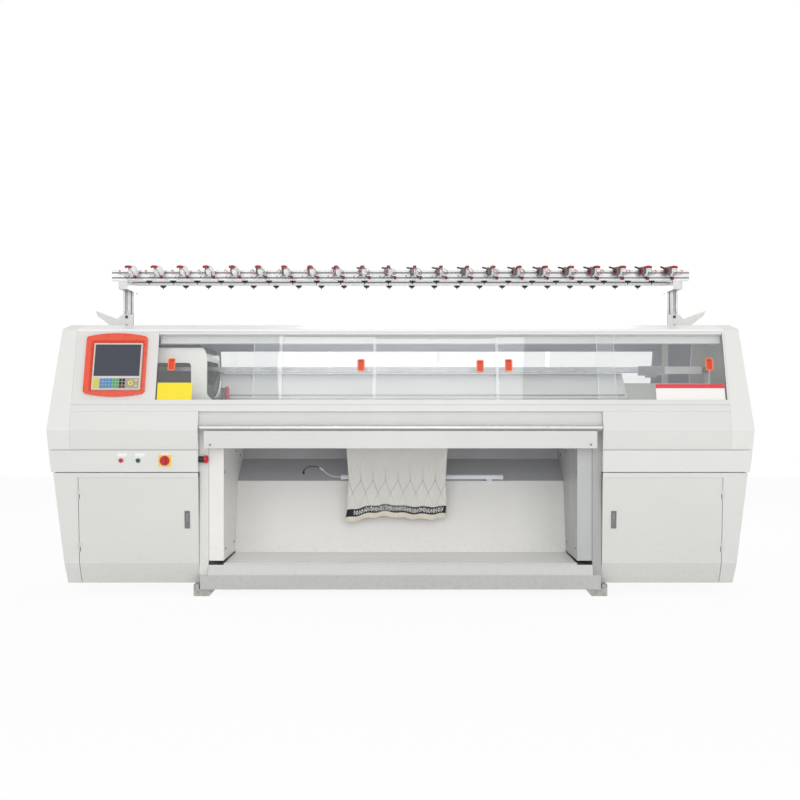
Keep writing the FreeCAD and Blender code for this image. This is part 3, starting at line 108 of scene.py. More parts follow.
def seen_directly(tree):
    """1 for rays from the camera, off a mirror or through a pane, and 0 for light on the object."""
    path = add(tree, "LightPath")
    seen = maths(tree, "MAXIMUM", path.outputs["Is Camera Ray"], path.outputs["Is Glossy Ray"])
    return maths(tree, "MAXIMUM", seen, path.outputs["Is Transmission Ray"])


world = bpy.data.worlds.new("white_room")
world.use_nodes = True
world.node_tree.nodes.clear()
scene.world = world
tree = world.node_tree
soft = add(tree, "Background", {"Color": (1, 1, 1, 1), "Strength": 0.66})
bright = add(tree, "Background", {"Color": (1, 1, 1, 1), "Strength": 1.0})
both = add(tree, "MixShader", {0: seen_directly(tree), 1: soft.outputs[0], 2: bright.outputs[0]})
add(tree, "OutputWorld", {"Surface": both.outputs[0]})


def skin(name, grid, material=None, body="machine", around=True, capped=True,
         smooth=True):
    """A mesh on grids of points (copies, rows, columns, xyz), a face between four neighbours.

    Around joins the last column to the first, and capped closes the first and the last row.
    Body is what the piece moves with.
    """
    grid = np.asarray(grid, dtype=float)
    if grid.ndim == 3:
        grid = grid[None]
    copies, rows, columns = grid.shape[:3]
    index = np.arange(copies * rows * columns).reshape(copies, rows, columns)
    if around:
        index = np.concatenate([index, index[..., :1]], axis=2)
    near, far = index[:, :-1], index[:, 1:]
    quads = np.stack([near[..., :-1], near[..., 1:], far[..., 1:], far[..., :-1]], axis=-1)
    faces = quads.reshape(-1, 4).tolist()
    if capped:
        faces += index[:, 0, :columns][:, ::-1].tolist() + index[:, -1, :columns].tolist()
    mesh = bpy.data.meshes.new(name)
    mesh.from_pydata(grid.reshape(-1, 3).tolist(), [], faces)
    if around and capped:
        shell = bmesh.new()
        shell.from_mesh(mesh)
        bmesh.ops.recalc_face_normals(shell, faces=shell.faces)
        shell.to_mesh(mesh)
        shell.free()
    mesh.polygons.foreach_set("use_smooth", np.full(len(mesh.polygons), smooth))
    piece = bpy.data.objects.new(name, mesh)
    scene.collection.objects.link(piece)
    if material:
        mesh.materials.append(material)
    if body:
        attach(piece, body)
    return piece


u, v = np.meshgrid(np.linspace(-14, 14, 15), np.linspace(-9, 9, 11))
floor = skin("floor", np.stack([u, v, 0 * u], axis=-1), body=None, around=False, capped=False,
             smooth=False)
floor_paint = bpy.data.materials.new("pale_floor")
floor_paint.use_nodes = True
tree = floor_paint.node_tree
tree.nodes.clear()
pale = add(tree, "BsdfDiffuse", {"Color": (0.86, 0.86, 0.86, 1)})
glow = add(tree, "Emission", {"Color": (1, 1, 1, 1), "Strength": 1.0})
share = maths(tree, "MULTIPLY", seen_directly(tree), 0.93)
both = add(tree, "MixShader", {0: share, 1: pale.outputs[0], 2: glow.outputs[0]})
add(tree, "OutputMaterial", {"Surface": both.outputs[0]})
floor.data.materials.append(floor_paint)

# ======== base frame and feet
# Two upright plates on boxed floor beams, with cross tubes, bed carriers and arms to the
# cabinets. Welded steel, powder coated in a pale grey, on four chamfered feet.


def object_place(tree):
    """Place on the object, in metres."""
    return add(tree, "TexCoord").outputs["Object"]


def effect(name, inputs, outputs=("Colour", "Roughness", "Height")):
    """A new node group, with the place on the object and the named inputs that are given to it."""
    kinds = {"Colour": "Color", "Along": "Vector"}
    made = bpy.data.node_groups.new(name, "ShaderNodeTree")
    for labels, way in ((inputs, "INPUT"), (outputs, "OUTPUT")):
        for label in labels:
            kind = "NodeSocket" + kinds.get(label, "Float")
            made.interface.new_socket(label, in_out=way, socket_type=kind)
    return made, object_place(made), made.nodes.new("NodeGroupInput").outputs


def feed(group, **values):
    """Joins values to the outputs of a group."""
    result = group.nodes.new("NodeGroupOutput").inputs
    for label, value in values.items():
        group.links.new(value, result[label])


def opened(material):
    """The material's nodes, and in them the place on the object."""
    return material.node_tree, object_place(material.node_tree)


def parts(tree, place):
    """The x, y and z of a place."""
    return add(tree, "SeparateXYZ", {0: place}).outputs


def vectors(tree, operation, a, b=(0, 0, 0)):
    return add(tree, "VectorMath", {0: a, 1: b}, operation=operation).outputs[0]


def times(tree, first, *others):
    """The product of two or more values."""
    for other in others:
        first = maths(tree, "MULTIPLY", first, other)
    return first


def over(tree, value, limit):
    """1 where the value is over the limit, and 0 elsewhere."""
    return maths(tree, "GREATER_THAN", value, limit)


def under(tree, value, limit):
    """1 where the value is under the limit, and 0 elsewhere."""
    return maths(tree, "LESS_THAN", value, limit)


def noise(tree, place, scale, detail=2.0, stretch=None):
    """Smooth noise from 0 to 1. Stretch multiplies the place along each axis first."""
    if stretch is not None:
        place = vectors(tree, "MULTIPLY", place, stretch)
    return add(tree, "TexNoise", {"Vector": place, "Scale": scale, "Detail": detail}).outputs["Fac"]


def ranged(tree, value, low, high, to_low=0.0, to_high=1.0, smooth=False):
    """Carries a value from one range to another, and holds it at the ends."""
    kind = "SMOOTHSTEP" if smooth else "LINEAR"
    ends = {"From Min": low, "From Max": high, "To Min": to_low, "To Max": to_high}
    return add(tree, "MapRange", {"Value": value, **ends}, interpolation_type=kind).outputs[0]


def spread(tree, value, low=0.0, high=1.0):
    """Carries the run in which most of a noise lies, 0.3 to 0.7, to another range."""
    return ranged(tree, value, 0.3, 0.7, low, high)


def shaded(tree, colour, amount):
    """A colour made lighter or darker: each of its parts times the amount."""
    vector = add(tree, "VectorMath", {0: colour, "Scale": amount}, operation="SCALE")
    return vector.outputs[0]


def blended(tree, share, first, second):
    """The first colour where the share is 0 and the second where it is 1."""
    made = tree.nodes.new("ShaderNodeMix")
    made.data_type = "RGBA"
    for socket, value in ((0, share), (6, first), (7, second)):
        if isinstance(value, bpy.types.NodeSocket):
            tree.links.new(value, made.inputs[socket])
        else:
            made.inputs[socket].default_value = value
    return made.outputs[2]


# Powder coat: orange peel 2 to 3 mm across, a faint cloudiness, and dust that gathers low down.
powder_coat, place, given = effect("powder_coat", ("Colour", "Cloud", "Dust", "Grain"))
cloud = noise(powder_coat, place, 1.7, 3.0)
smear = noise(powder_coat, place, 9.0, 3.0, (1, 1, 0.35))
low = ranged(powder_coat, parts(powder_coat, place)[2], 0.45, 0.0, smooth=True)
speck = ranged(powder_coat, noise(powder_coat, place, 55.0, 4.0), 0.45, 0.75)
dusty = times(powder_coat, low, speck, given["Dust"])
uneven = times(powder_coat, spread(powder_coat, cloud), given["Cloud"])
level = maths(powder_coat, "SUBTRACT", maths(powder_coat, "SUBTRACT", 1.0, uneven), dusty)
feed(powder_coat, Colour=shaded(powder_coat, given["Colour"], level),
     Roughness=maths(powder_coat, "ADD", spread(powder_coat, smear, 0.3, 0.46), dusty),
     Height=noise(powder_coat, place, given["Grain"], 1.0))


def finish(name, group, values, plain=None, bump=0.0):
    """A material with one Principled shader, fed by a group's Colour, Roughness and Height.

    Plain holds the numbers and colours that are the same all over. Bump is the relief in metres.
    """
    made = bpy.data.materials.new(name)
    made.use_nodes = True
    tree = made.node_tree
    tree.nodes.clear()
    shader = add(tree, "BsdfPrincipled", plain)
    add(tree, "OutputMaterial", {"Surface": shader.outputs[0]})
    source = add(tree, "Group", values, node_tree=group).outputs
    for output, socket in (("Colour", "Base Color"), ("Roughness", "Roughness")):
        if output in source:
            tree.links.new(source[output], shader.inputs[socket])
    if bump:
        relief = add(tree, "Bump", {"Strength": 1.0, "Distance": bump, "Height": source["Height"]})
        tree.links.new(relief.outputs[0], shader.inputs["Normal"])
    return made


def paint(name, colour, cloud, dust=0.0, grain=420.0, peel=0.00005, clear=()):
    """Powder coat. Peel is its relief in metres, clear the weight and roughness of a top layer."""
    values = {"Colour": colour, "Cloud": cloud, "Dust": dust, "Grain": grain}
    plain = dict(zip(("Coat Weight", "Coat Roughness"), clear))
    return finish(name, powder_coat, values, plain, peel)


def dress(material, *names):
    """Gives CAD nodes their material."""
    for name in names:
        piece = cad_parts[name]
        if not piece.material_slots:
            piece.data.materials.append(material)
        for holder in piece.material_slots:
            holder.material = material


def two_tone(tree, mask, outside, inside):
    """Gives the material's group one colour where the mask is 0 and another where it is 1."""
    tree.links.new(blended(tree, mask, outside, inside), tree.nodes["Group"].inputs["Colour"])


# The right upright, from its outer face inwards, and the floor beams in front are painted a darker
# grey than the rest of the frame, as painted shade.
frame_colour, beam_top = rgb(226, 226, 223), 0.1085
frame_paint = paint("frame_paint", frame_colour, 0.05, 0.1, peel=0.00006)
tree, place = opened(frame_paint)
across, deep, high = parts(tree, place)
right = times(tree, over(tree, across, 0.95), under(tree, across, 1.0216),
              over(tree, high, beam_top))
shaded_beam = times(tree, under(tree, deep, -0.4), under(tree, high, beam_top))
two_tone(tree, right, blended(tree, shaded_beam, frame_colour, rgb(194, 195, 193)), rgb(176, 178, 177))
dress(frame_paint, "base_frame")
dress(paint("foot_paint", rgb(186, 184, 178), 0.12, 0.45, 260.0, 0.00012), "levelling_feet")

# ======== work bay
# The open bay under the knitting head. Its sides, floor tray and back are folded sheet steel in
# the same coat, screwed to the uprights. The back leans forward as a chute below its bend.
bay_colour = rgb(234, 233, 230)
lining_paint = paint("lining_paint", bay_colour, 0.1, 0.12, 380.0, 0.00006)
tree, place = opened(lining_paint)
# The right side panel is painted darker grey as shade, and the left one lighter, as the light that
# falls on it.
right = over(tree, parts(tree, place)[0], 0.0)
two_tone(tree, right, rgb(243, 242, 239), rgb(194, 196, 195))
dress(lining_paint, "side_panels")

# The lip of the tray slopes to the floor and is painted darker, as shade where it catches less of
# the light. The upper back sheet, above the bend, is painted darker than the chute, as painted
# shade.
tray_colour = rgb(250, 249, 246)
for name, colour, cloud, dust, edges, other, node in (
        ("tray_paint", tray_colour, 0.05, 0.06, (0.164, 0.1625), rgb(212, 212, 210), "floor_tray"),
        ("back_paint", bay_colour, 0.06, 0.1, (0.5515, 0.5535), rgb(180, 180, 184), "back_panel")):
    sheet_paint = paint(name, colour, cloud, dust, 380.0, 0.00006)
    tree, place = opened(sheet_paint)
    painted_shade = ranged(tree, parts(tree, place)[2], *edges)
    two_tone(tree, painted_shade, colour, other)
    dress(sheet_paint, node)

# ======== cabinets, doors and locks
# Two boxes of folded sheet stand on the frame's arms, one each side of the bay. Each has one
# door on two barrel hinges, and a pressed lock plate with a dark recess and a lift lever.
cover_colour, clear_layer = rgb(225, 225, 222), (0.15, 0.2)
cover_paint = paint("cover_paint", cover_colour, 0.03, 0.05, clear=clear_layer)
dress(cover_paint, "cabinets")


def patch(tree, place, low, high, edge=0.0003):
    """1 inside the box from its low corner to its high corner, and 0 outside it."""
    above, below = vectors(tree, "SUBTRACT", place, low), vectors(tree, "SUBTRACT", high, place)
    x, y, z = parts(tree, vectors(tree, "MINIMUM", above, below))
    return ranged(tree, maths(tree, "MINIMUM", maths(tree, "MINIMUM", x, y), z), -edge, edge)


def any_of(tree, masks):
    """1 where any of the masks is 1."""
    whole = 0.0
    for mask in masks:
        whole = maths(tree, "MAXIMUM", whole, mask)
    return whole


# The hinge barrels and the lock plates are zinc plated: bare metal inside the boxes that hold them.
zinc, place, given = effect("zinc_plate", ("Colour",))
spangle = add(zinc, "TexVoronoi", {"Vector": place, "Scale": 260.0}).outputs["Distance"]
tone = ranged(zinc, spangle, 0.0, 0.9, 1.0, 0.82)
feed(zinc, Colour=shaded(zinc, given["Colour"], tone),
     Roughness=spread(zinc, noise(zinc, place, 90.0), 0.28, 0.42), Height=spangle)


def add_bare_metal(material, group, values, mask, metallic=1.0):
    """Where the mask is 1, the surface takes the group's colour and roughness and is metal."""
    tree = material.node_tree
    shader = tree.nodes["Principled BSDF"]
    source = add(tree, "Group", values, node_tree=group)
    for output, socket in (("Colour", "Base Color"), ("Roughness", "Roughness")):
        before = shader.inputs[socket].links[0].from_socket
        after = blended(tree, mask, before, source.outputs[output])
        tree.links.new(after, shader.inputs[socket])
    tree.links.new(maths(tree, "MULTIPLY", mask, metallic), shader.inputs["Metallic"])


for side, sign in (("left", -1), ("right", 1)):
    door_paint = paint(side + "_door_paint", rgb(222, 222, 218), 0.04, 0.06, clear=clear_layer)
    tree, place = opened(door_paint)
    lock, edge = sign * 1.079, sign * 1.6295
    plate = patch(tree, place, (lock - 0.0136, -0.45, 0.3446), (lock + 0.0136, -0.4, 0.4344))
    barrels = [patch(tree, place, (edge - 0.008, -0.45, foot), (edge + 0.008, -0.39, foot + 0.0245))
               for foot in (0.2265, 0.4958)]
    bare = any_of(tree, [plate, *barrels])
    add_bare_metal(door_paint, zinc, {"Colour": rgb(124, 128, 126)}, bare, 0.4)
    recess = patch(tree, place, (lock - 0.0105, -0.45, 0.385), (lock + 0.0105, -0.4, 0.4262))
    base = tree.nodes["Principled BSDF"].inputs["Base Color"]
    tree.links.new(blended(tree, recess, base.links[0].from_socket, rgb(22, 22, 22)), base)
    dress(door_paint, side + "_door")

steel_plate = finish("lock_plate", zinc, {"Colour": rgb(140, 142, 144)}, {"Metallic": 0.7},
                     bump=0.00003)
dress(steel_plate, "left_lock_lever", "right_lock_lever")

# ======== middle bands and their switches
# A straight belt of sheet joins the cabinets to the head. The left half carries two push buttons,
# the main switch on its yellow plate and, round the corner, the emergency stop. A small bare white
# plate is stuck over each switch.
band_paint = paint("band_paint", cover_colour, 0.03, clear=clear_layer)
tree, place = opened(band_paint)
plates = [patch(tree, place, (middle - half, -0.45, 0.7105), (middle + half, -0.43, 0.7265), 0.0005)
          for middle, half in ((-1.404, 0.024), (-1.314, 0.024), (-1.188, 0.02))]
two_tone(tree, any_of(tree, plates), cover_colour, rgb(244, 244, 242))
dress(band_paint, "mid_bands")

moulded, place, given = effect("moulded_plastic", ("Colour", "Grain", "Gloss"))
handled = noise(moulded, place, 38.0, 3.0)
feed(moulded, Colour=shaded(moulded, given["Colour"], spread(moulded, handled, 1.0, 0.94)),
     Roughness=maths(moulded, "SUBTRACT", spread(moulded, handled, 0.52, 0.38), given["Gloss"]),
     Height=noise(moulded, place, given["Grain"]))


def plastic(name, colour, gloss=0.0, grain=900.0, bump=0.00004, plain=None):
    return finish(name, moulded, {"Colour": colour, "Grain": grain, "Gloss": gloss}, plain, bump)


red_plastic = plastic("red_plastic", rgb(196, 26, 40), gloss=0.12)
green_plastic = plastic("green_plastic", rgb(20, 84, 66), gloss=0.12)
dress(red_plastic, "red_button", "switch_knob", "estop_head")
dress(green_plastic, "green_button")

# The bases are one node: chromed collars at the two buttons, the yellow plate, and the black collar
# of the emergency stop on the frame's left upright.
low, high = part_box("switch_bases")
base_black = rgb(24, 24, 26)
base_plastic = plastic("switch_bases", base_black)
tree, place = opened(base_plastic)
front, back = low[1] - 0.01, high[1] + 0.01
on_plate = patch(tree, place, (-1.228, front, 0.64), (-1.148, back, 0.74))
collars = patch(tree, place, (-1.45, front, 0.64), (-1.28, back, 0.74))
two_tone(tree, on_plate, base_black, rgb(252, 212, 78))
add_bare_metal(base_plastic, zinc, {"Colour": rgb(206, 208, 210)}, collars)
dress(base_plastic, "switch_bases")

# ======== upper covers
# The head of the machine is closed by long sheets between two end caps: the hood on top, a left
# cover that holds the display, a right cover, and rear covers with an opening for windows.
dress(cover_paint, "left_head_cover", "right_head_cover")

# The inside of the rear covers' sloping part is painted blue-grey, as painted shade. The slope of
# the windows starts at slope_y and slope_z, and each metre of it climbs and leans so far.
slope_y, slope_z, climb, lean = -0.45, 0.847, 0.9601, 0.2796
rear_paint = paint("rear_cover_paint", cover_colour, 0.03, 0.05, clear=clear_layer)
tree, place = opened(rear_paint)
_, deep, high = parts(tree, place)
out = maths(tree, "ADD", times(tree, maths(tree, "SUBTRACT", deep, 0.462), climb),
            times(tree, maths(tree, "SUBTRACT", high, slope_z), lean))
shaded_inside = times(tree, under(tree, out, -0.0012), over(tree, high, 0.9))
two_tone(tree, shaded_inside, cover_colour, rgb(178, 181, 196))
dress(rear_paint, "rear_covers")

# The end caps are still in thin stretch film from the factory, which glistens in creases.
dress(paint("end_cap_paint", rgb(231, 231, 228), 0.03, clear=(0.25, 0.12)), "end_caps")
dress(paint("hood_paint", rgb(247, 247, 246), 0.03, clear=clear_layer), "top_hood")

# ======== windows
# Clear acrylic sheets slide in the grooves of the sill and of the top track, in three tracks.
# Each has an orange pull, painted darker in its cup as shade and paler on its rim as highlight.
# Fixed clear sheets close the opening in the rear cover.
dress(paint("track_paint", rgb(226, 226, 225), 0.04), "window_tracks")

acrylic, place, given = effect("acrylic", ("Haze",), ("Roughness", "Height"))
wiped = noise(acrylic, place, 7.0, 4.0, (1, 1, 0.4))
hairline = noise(acrylic, place, 30.0, 3.0, (0.15, 1, 1))
marks = times(acrylic, ranged(acrylic, wiped, 0.45, 0.75), ranged(acrylic, hairline, 0.4, 0.7))
feed(acrylic, Roughness=times(acrylic, marks, given["Haze"]),
     Height=noise(acrylic, place, 3.0, 1.0))

# The panes let the lamps' light through to what stands behind them.
pane_acrylic = finish("pane_acrylic", acrylic, {"Haze": 0.1}, {
    "Transmission Weight": 0.96, "IOR": 1.49, "Base Color": (0.958, 0.967, 0.967, 1)}, bump=0.0006)
tree = pane_acrylic.node_tree
path = add(tree, "LightPath").outputs
lit = maths(tree, "MAXIMUM", path["Is Shadow Ray"], path["Is Diffuse Ray"])
through = add(tree, "BsdfTransparent", {"Color": (0.96, 0.97, 0.97, 1)})
shader = tree.nodes["Principled BSDF"]
mixed = add(tree, "MixShader", {0: lit, 1: shader.outputs[0], 2: through.outputs[0]})
tree.links.new(mixed.outputs[0], tree.nodes["Material Output"].inputs["Surface"])
windows = range(1, 6)
dress(pane_acrylic, "rear_windows", *["window_pane_%d" % number for number in windows])

# Fine white strips down the slope at the ends of each sheet are a painted highlight: the light that
# their polished ends gather.
edge_highlight_plastic = plastic("pane_edge_highlight", rgb(246, 247, 247), gloss=0.2, bump=0.0)
slope = math.atan2(climb, lean)
rise, run = math.sin(slope), math.cos(slope)
for number in windows:
    low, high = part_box("window_pane_%d" % number)
    span = (high[2] - low[2] - 0.004 * run) / rise
    foot = (low[1] + 0.002 * rise, low[2] + 0.002 * run)
    up = np.linspace(0.0006, span - 0.0006, 5)[:, None]
    across = np.array([[-0.0008, 0.0008, 0.0008, -0.0008]])
    out = np.array([[-0.0021, -0.0021, 0.0021, 0.0021]])
    for side, at in (("left", low[0] + 0.0009), ("right", high[0] - 0.0009)):
        line = np.stack([at + across + 0 * up, foot[0] + up * run - out * rise,
                         foot[1] + up * rise + out * run], axis=-1)
        skin("pane_%d_%s_edge" % (number, side), line, edge_highlight_plastic, "window_%d" % number,
             smooth=False)

orange_plastic = plastic("orange_plastic", rgb(244, 98, 60), gloss=0.1)
tree, place = opened(orange_plastic)
shaded_wells, rim = [], np.array((0.0062, -0.01, 0.0062))
for number in windows:
    low, high = np.array(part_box("window_pull_%d" % number))
    shaded_wells.append(patch(tree, place, low + rim, high - rim, 0.0012))
# The cups are painted darker, as shade, and the rims paler, as highlight.
two_tone(tree, any_of(tree, shaded_wells), rgb(248, 132, 88), rgb(222, 74, 42))
dress(orange_plastic, *["window_pull_%d" % number for number in windows])

# ======== operating bar, sill and apron
# The bar across the front starts and stops the machine when it is tipped. Behind it is a recess
# under the sill, and below it the apron, both folded sheet.
brushed, place, given = effect("brushed_metal", ("Colour", "Along", "Depth"))
lines = noise(brushed, place, 500.0, 3.0, given["Along"])
blotch = noise(brushed, place, 14.0, 3.0)
tone = maths(brushed, "SUBTRACT", 1.0, times(brushed, lines, given["Depth"]))
rough = maths(brushed, "ADD", ranged(brushed, lines, 0.2, 0.8, 0.2, 0.34),
              ranged(brushed, blotch, 0.3, 0.8, 0.0, 0.12))
feed(brushed, Colour=shaded(brushed, given["Colour"], tone), Roughness=rough, Height=lines)


def metal(name, colour, along, depth, metallic=0.0, relief=0.00002, coat=0.0):
    """Brushed metal. The brush lines run long in the directions where along is small."""
    values = {"Colour": colour, "Along": along, "Depth": depth}
    return finish(name, brushed, values, {"Metallic": metallic, "Coat Weight": coat}, relief)


bar_metal = metal("bar_metal", rgb(206, 207, 207), (0.02, 1, 1), 0.1, 0.75, coat=0.1)
dress(bar_metal, "operating_bar")
dress(paint("apron_paint", rgb(218, 218, 215), 0.05), "apron")

# ======== control panel
# A soft orange frame round the display. The display has a dark screen over thirty small keys, in
# yellow, blue, green and black blocks, and a yellow pad with a round key on a grey field.
bezel_plastic = plastic("bezel_plastic", rgb(236, 86, 58), gloss=0.14)
dress(bezel_plastic, "panel_bezel")
screen_grey = rgb(214, 212, 204)
screen_plastic = plastic("screen_plastic", screen_grey)


def slope_place(tree):
    """Places on the window slope: x along the machine, y up the slope, z out of it."""
    values = {"Vector": object_place(tree), "Location": (0, slope_y, slope_z),
              "Rotation": (slope, 0, 0)}
    return add(tree, "Mapping", values, vector_type="TEXTURE").outputs[0]


tree = screen_plastic.node_tree
place = slope_place(tree)
key_low, key_high, key_left, key_step = 0.2142, 0.2694, -1.564, 0.0164
key_right, pad_left, pad_right = key_left + 10 * key_step, -1.39, -1.3313
face, proud = 0.0055, 0.02    # heights out of the slope: just under the screen, and over every key
lcd = patch(tree, place, (-1.5647, 0.2802, face), (pad_right, 0.4498, proud))
keys = patch(tree, place, (key_left, key_low, face), (key_right, key_high, proud))
caps = patch(tree, place, (key_left, key_low, 0.0064), (key_right, key_high, proud), 0.0002)
field = patch(tree, place, (key_right, key_low, face), (pad_right, key_high, 0.0065))
lowest = patch(tree, place, (key_right - 2 * key_step, key_low, face), (key_right, 0.2325, proud))
raised = patch(tree, place, (pad_left, key_low, 0.0066), (pad_right, key_high, proud))
dot = add(tree, "VectorMath", {0: place, 1: (-1.374, 0.243, 0.0072)}, operation="DISTANCE")
ring = times(tree, under(tree, dot.outputs["Value"], 0.0045), raised)
blocks = tree.nodes.new("ShaderNodeValToRGB")
blocks.color_ramp.interpolation = "CONSTANT"
stops = ((0.0, rgb(222, 208, 70)), (0.2, rgb(70, 136, 190)), (0.6, rgb(74, 164, 98)),
         (0.8, rgb(26, 24, 26)))
while len(blocks.color_ramp.elements) < len(stops):
    blocks.color_ramp.elements.new(0.5)
for stop, (at, colour) in zip(blocks.color_ramp.elements, stops):
    stop.position, stop.color = at, colour
tree.links.new(ranged(tree, parts(tree, place)[0], key_left, key_right), blocks.inputs[0])
print_colour = blended(tree, lowest, blocks.outputs[0], rgb(112, 26, 34))
printed = blended(tree, caps, rgb(196, 194, 186), print_colour)
colour = screen_grey
for mask, other in ((lcd, rgb(62, 66, 78)), (keys, printed), (field, rgb(166, 162, 152)),
                    (raised, rgb(232, 214, 92)), (ring, rgb(120, 104, 40))):
    colour = blended(tree, mask, colour, other)
tree.links.new(colour, tree.nodes["Group"].inputs["Colour"])
rough = tree.nodes["Principled BSDF"].inputs["Roughness"]
gloss = ranged(tree, lcd, 0.0, 1.0, 1.0, 0.35)
tree.links.new(times(tree, rough.links[0].from_socket, gloss), rough)
dress(screen_plastic, "display_panel")

# ======== colour fields on the end windows
# Two thin self-adhesive films on the outer faces of the end windows: a yellow one, and a white one
# with a red band along its top. Both are bare of print, and move with their windows.
film, place, given = effect("printed_film", ("Colour",))
bubbles = noise(film, place, 60.0)
feed(film, Colour=shaded(film, given["Colour"], spread(film, bubbles, 0.994, 1.0)),
     Roughness=spread(film, bubbles, 0.36, 0.42), Height=bubbles)


def thicken(piece, thickness, offset):
    """Gives a surface a thickness, on one side of it where offset is 1 and about it where 0."""
    wall = piece.modifiers.new("thickness", "SOLIDIFY")
    wall.thickness, wall.offset = thickness, offset


def sheet_film(name, body, left, right, low, high, material, columns=12, rows=8):
    """Film 0.3 mm thick on the slope of a pane, whose outer face lies 8 mm behind the covers."""
    x, s = np.meshgrid(np.linspace(left, right, columns), np.linspace(low, high, rows))
    y, z = slope_y + lean * s + climb * 0.008, slope_z + climb * s - lean * 0.008
    piece = skin(name, np.stack([x, y, z], axis=-1), material, body,
                 around=False, capped=False, smooth=False)
    thicken(piece, 0.0003, 1.0)


yellow_film = finish("yellow_film", film, {"Colour": rgb(248, 226, 40)}, bump=0.000004)
sheet_film("yellow_field", "window_1", -1.238, -1.061, 0.158, 0.249, yellow_film)
warm_white = rgb(246, 244, 240)
warm_film = finish("red_and_white_film", film, {"Colour": warm_white}, bump=0.000004)
tree = warm_film.node_tree
stripe = patch(tree, slope_place(tree), (1.2, 0.219, -0.02), (1.7, 0.25, 0.02))
two_tone(tree, stripe, warm_white, rgb(226, 66, 76))
sheet_film("red_and_white_field", "window_5", 1.3, 1.65, 0.157, 0.241, warm_film)

# ======== needle beds
# Two slotted steel beds in a roof shape, ground bright. A hooked latch needle lies in every slot,
# with its hook over the inner edge and its butt standing up near the outer one.
needle_pitch, bed_slant = 0.0042, math.radians(40)
slotted, place, given = effect("slotted_steel", ("Colour", "Pitch"))
turns = maths(slotted, "DIVIDE", parts(slotted, place)[0], given["Pitch"])
wave = maths(slotted, "COSINE", times(slotted, turns, 2 * math.pi))
slot_depth = ranged(slotted, wave, -0.1, 0.5)
oil = noise(slotted, place, 5.0, 3.0, (0.4, 1, 1))
# The slots are painted up to 6% darker than the lands between them, as shade in them.
tone = times(slotted, ranged(slotted, slot_depth, 0.0, 1.0, 1.0, 0.94),
             ranged(slotted, oil, 0.35, 0.7, 1.0, 0.95))
feed(slotted, Colour=shaded(slotted, given["Colour"], tone),
     Roughness=spread(slotted, oil, 0.24, 0.4), Height=maths(slotted, "SUBTRACT", 1.0, slot_depth))
bed_steel = finish("bed_steel", slotted, {"Colour": rgb(251, 251, 251), "Pitch": needle_pitch / 2},
                   bump=0.0002)
dress(bed_steel, "front_needle_bed", "rear_needle_bed")


def bed_place(along, out, side):
    """Place on a bed's face: so far down from its inner edge, and so far out of the face."""
    y = 0.006 + along * math.cos(bed_slant) + out * math.sin(bed_slant)
    return side * y, 1.14 - along * math.sin(bed_slant) + out * math.cos(bed_slant)


def carried(path, outline, towards=(1, 0, 0)):
    """Carries an outline along a path, as rings of points.

    At each place the outline's first axis points towards a fixed direction, made square to the
    path, and its second axis is square to both.
    """
    path = np.asarray(path, dtype=float)
    outline = np.asarray(outline, dtype=float)
    ahead = np.gradient(path, axis=0)
    ahead /= np.linalg.norm(ahead, axis=1, keepdims=True)
    towards = np.asarray(towards, dtype=float)
    first = towards - ahead * (ahead @ towards)[:, None]
    first /= np.linalg.norm(first, axis=1, keepdims=True)
    second = np.cross(ahead, first)
    return (path[:, None] + outline[None, :, 0, None] * first[:, None]
            + outline[None, :, 1, None] * second[:, None])


def oblong(width, height):
    """Four corners of a flat bar's section."""
    return np.array([(-1, -1), (1, -1), (1, 1), (-1, 1)]) * (width / 2, height / 2)


def circle(radius, count=8):
    turn = np.linspace(0, 2 * math.pi, count, endpoint=False)
    return np.stack([np.cos(turn), np.sin(turn)], axis=-1) * radius


def repeated(grid, steps):
    """Copies of a grid of points, one moved by each step."""
    return grid[None] + np.asarray(steps, dtype=float)[:, None, None, :]


needle_steel = metal("needle_steel", rgb(236, 238, 240), (1, 0.1, 0.1), 0.1, 0.4, 0.00001)
butt_steel = metal("butt_steel", rgb(120, 122, 126), (1, 1, 1), 0.4, 0.8, 0.00001)
places = np.arange(-1.1865, 1.187, needle_pitch)
steps = np.stack([places, 0 * places, 0 * places], axis=-1)
drift = 0.004 * np.sin(places * 370) * np.cos(places * 110)
shape = [(0.06, 0.0004), (0.03, 0.0008), (0.006, 0.0008), (0.0006, 0.0003), (-0.001, 0.0),
         (-0.0016, 0.0005), (-0.001, 0.0011), (0.0002, 0.001)]
for bed, side in (("front", -1), ("rear", 1)):
    stem = carried([(0.0, *bed_place(along, out, side)) for along, out in shape],
                   oblong(0.0008, 0.0011))
    skin(bed + "_needles", repeated(stem, steps), needle_steel, smooth=False)
    butt = carried([(0.0, *bed_place(0.188, out, side)) for out in (-0.001, 0.0035, 0.0058)],
                   oblong(0.001, 0.0075))
    moved = np.stack([places, side * drift * math.cos(bed_slant), -drift * math.sin(bed_slant)],
                     axis=-1)
    skin(bed + "_needle_butts", repeated(butt, moved), butt_steel, smooth=False)

# ======== carrier rails and yarn carriers
# Four flat bright steel rails span the machine over the beds. Yarn carriers straddle them: a milled
# block, a thin arm down to the needles and a ceramic tip that lays the yarn.
rail_colour = rgb(150, 153, 156)
rail_steel = metal("rail_steel", rail_colour, (0.02, 1, 1), 0.35, 0.9)
# The plate at the front rail's right end, where the first carrier stops, is painted white.
tree, place = opened(rail_steel)
parking = patch(tree, place, (1.4222, -0.0525, 1.13), (1.6232, -0.049, 1.18))
two_tone(tree, parking, rail_colour, rgb(228, 228, 226))
tree.links.new(ranged(tree, parking, 0.0, 1.0, 0.9, 0.0),
               tree.nodes["Principled BSDF"].inputs["Metallic"])
dress(rail_steel, "carrier_rails")
carrier_steel = metal("carrier_steel", rgb(112, 115, 117), (1, 1, 0.1), 0.3, 0.8)
dress(carrier_steel, "yarn_carrier_1", "yarn_carrier_2", "yarn_carrier_3")


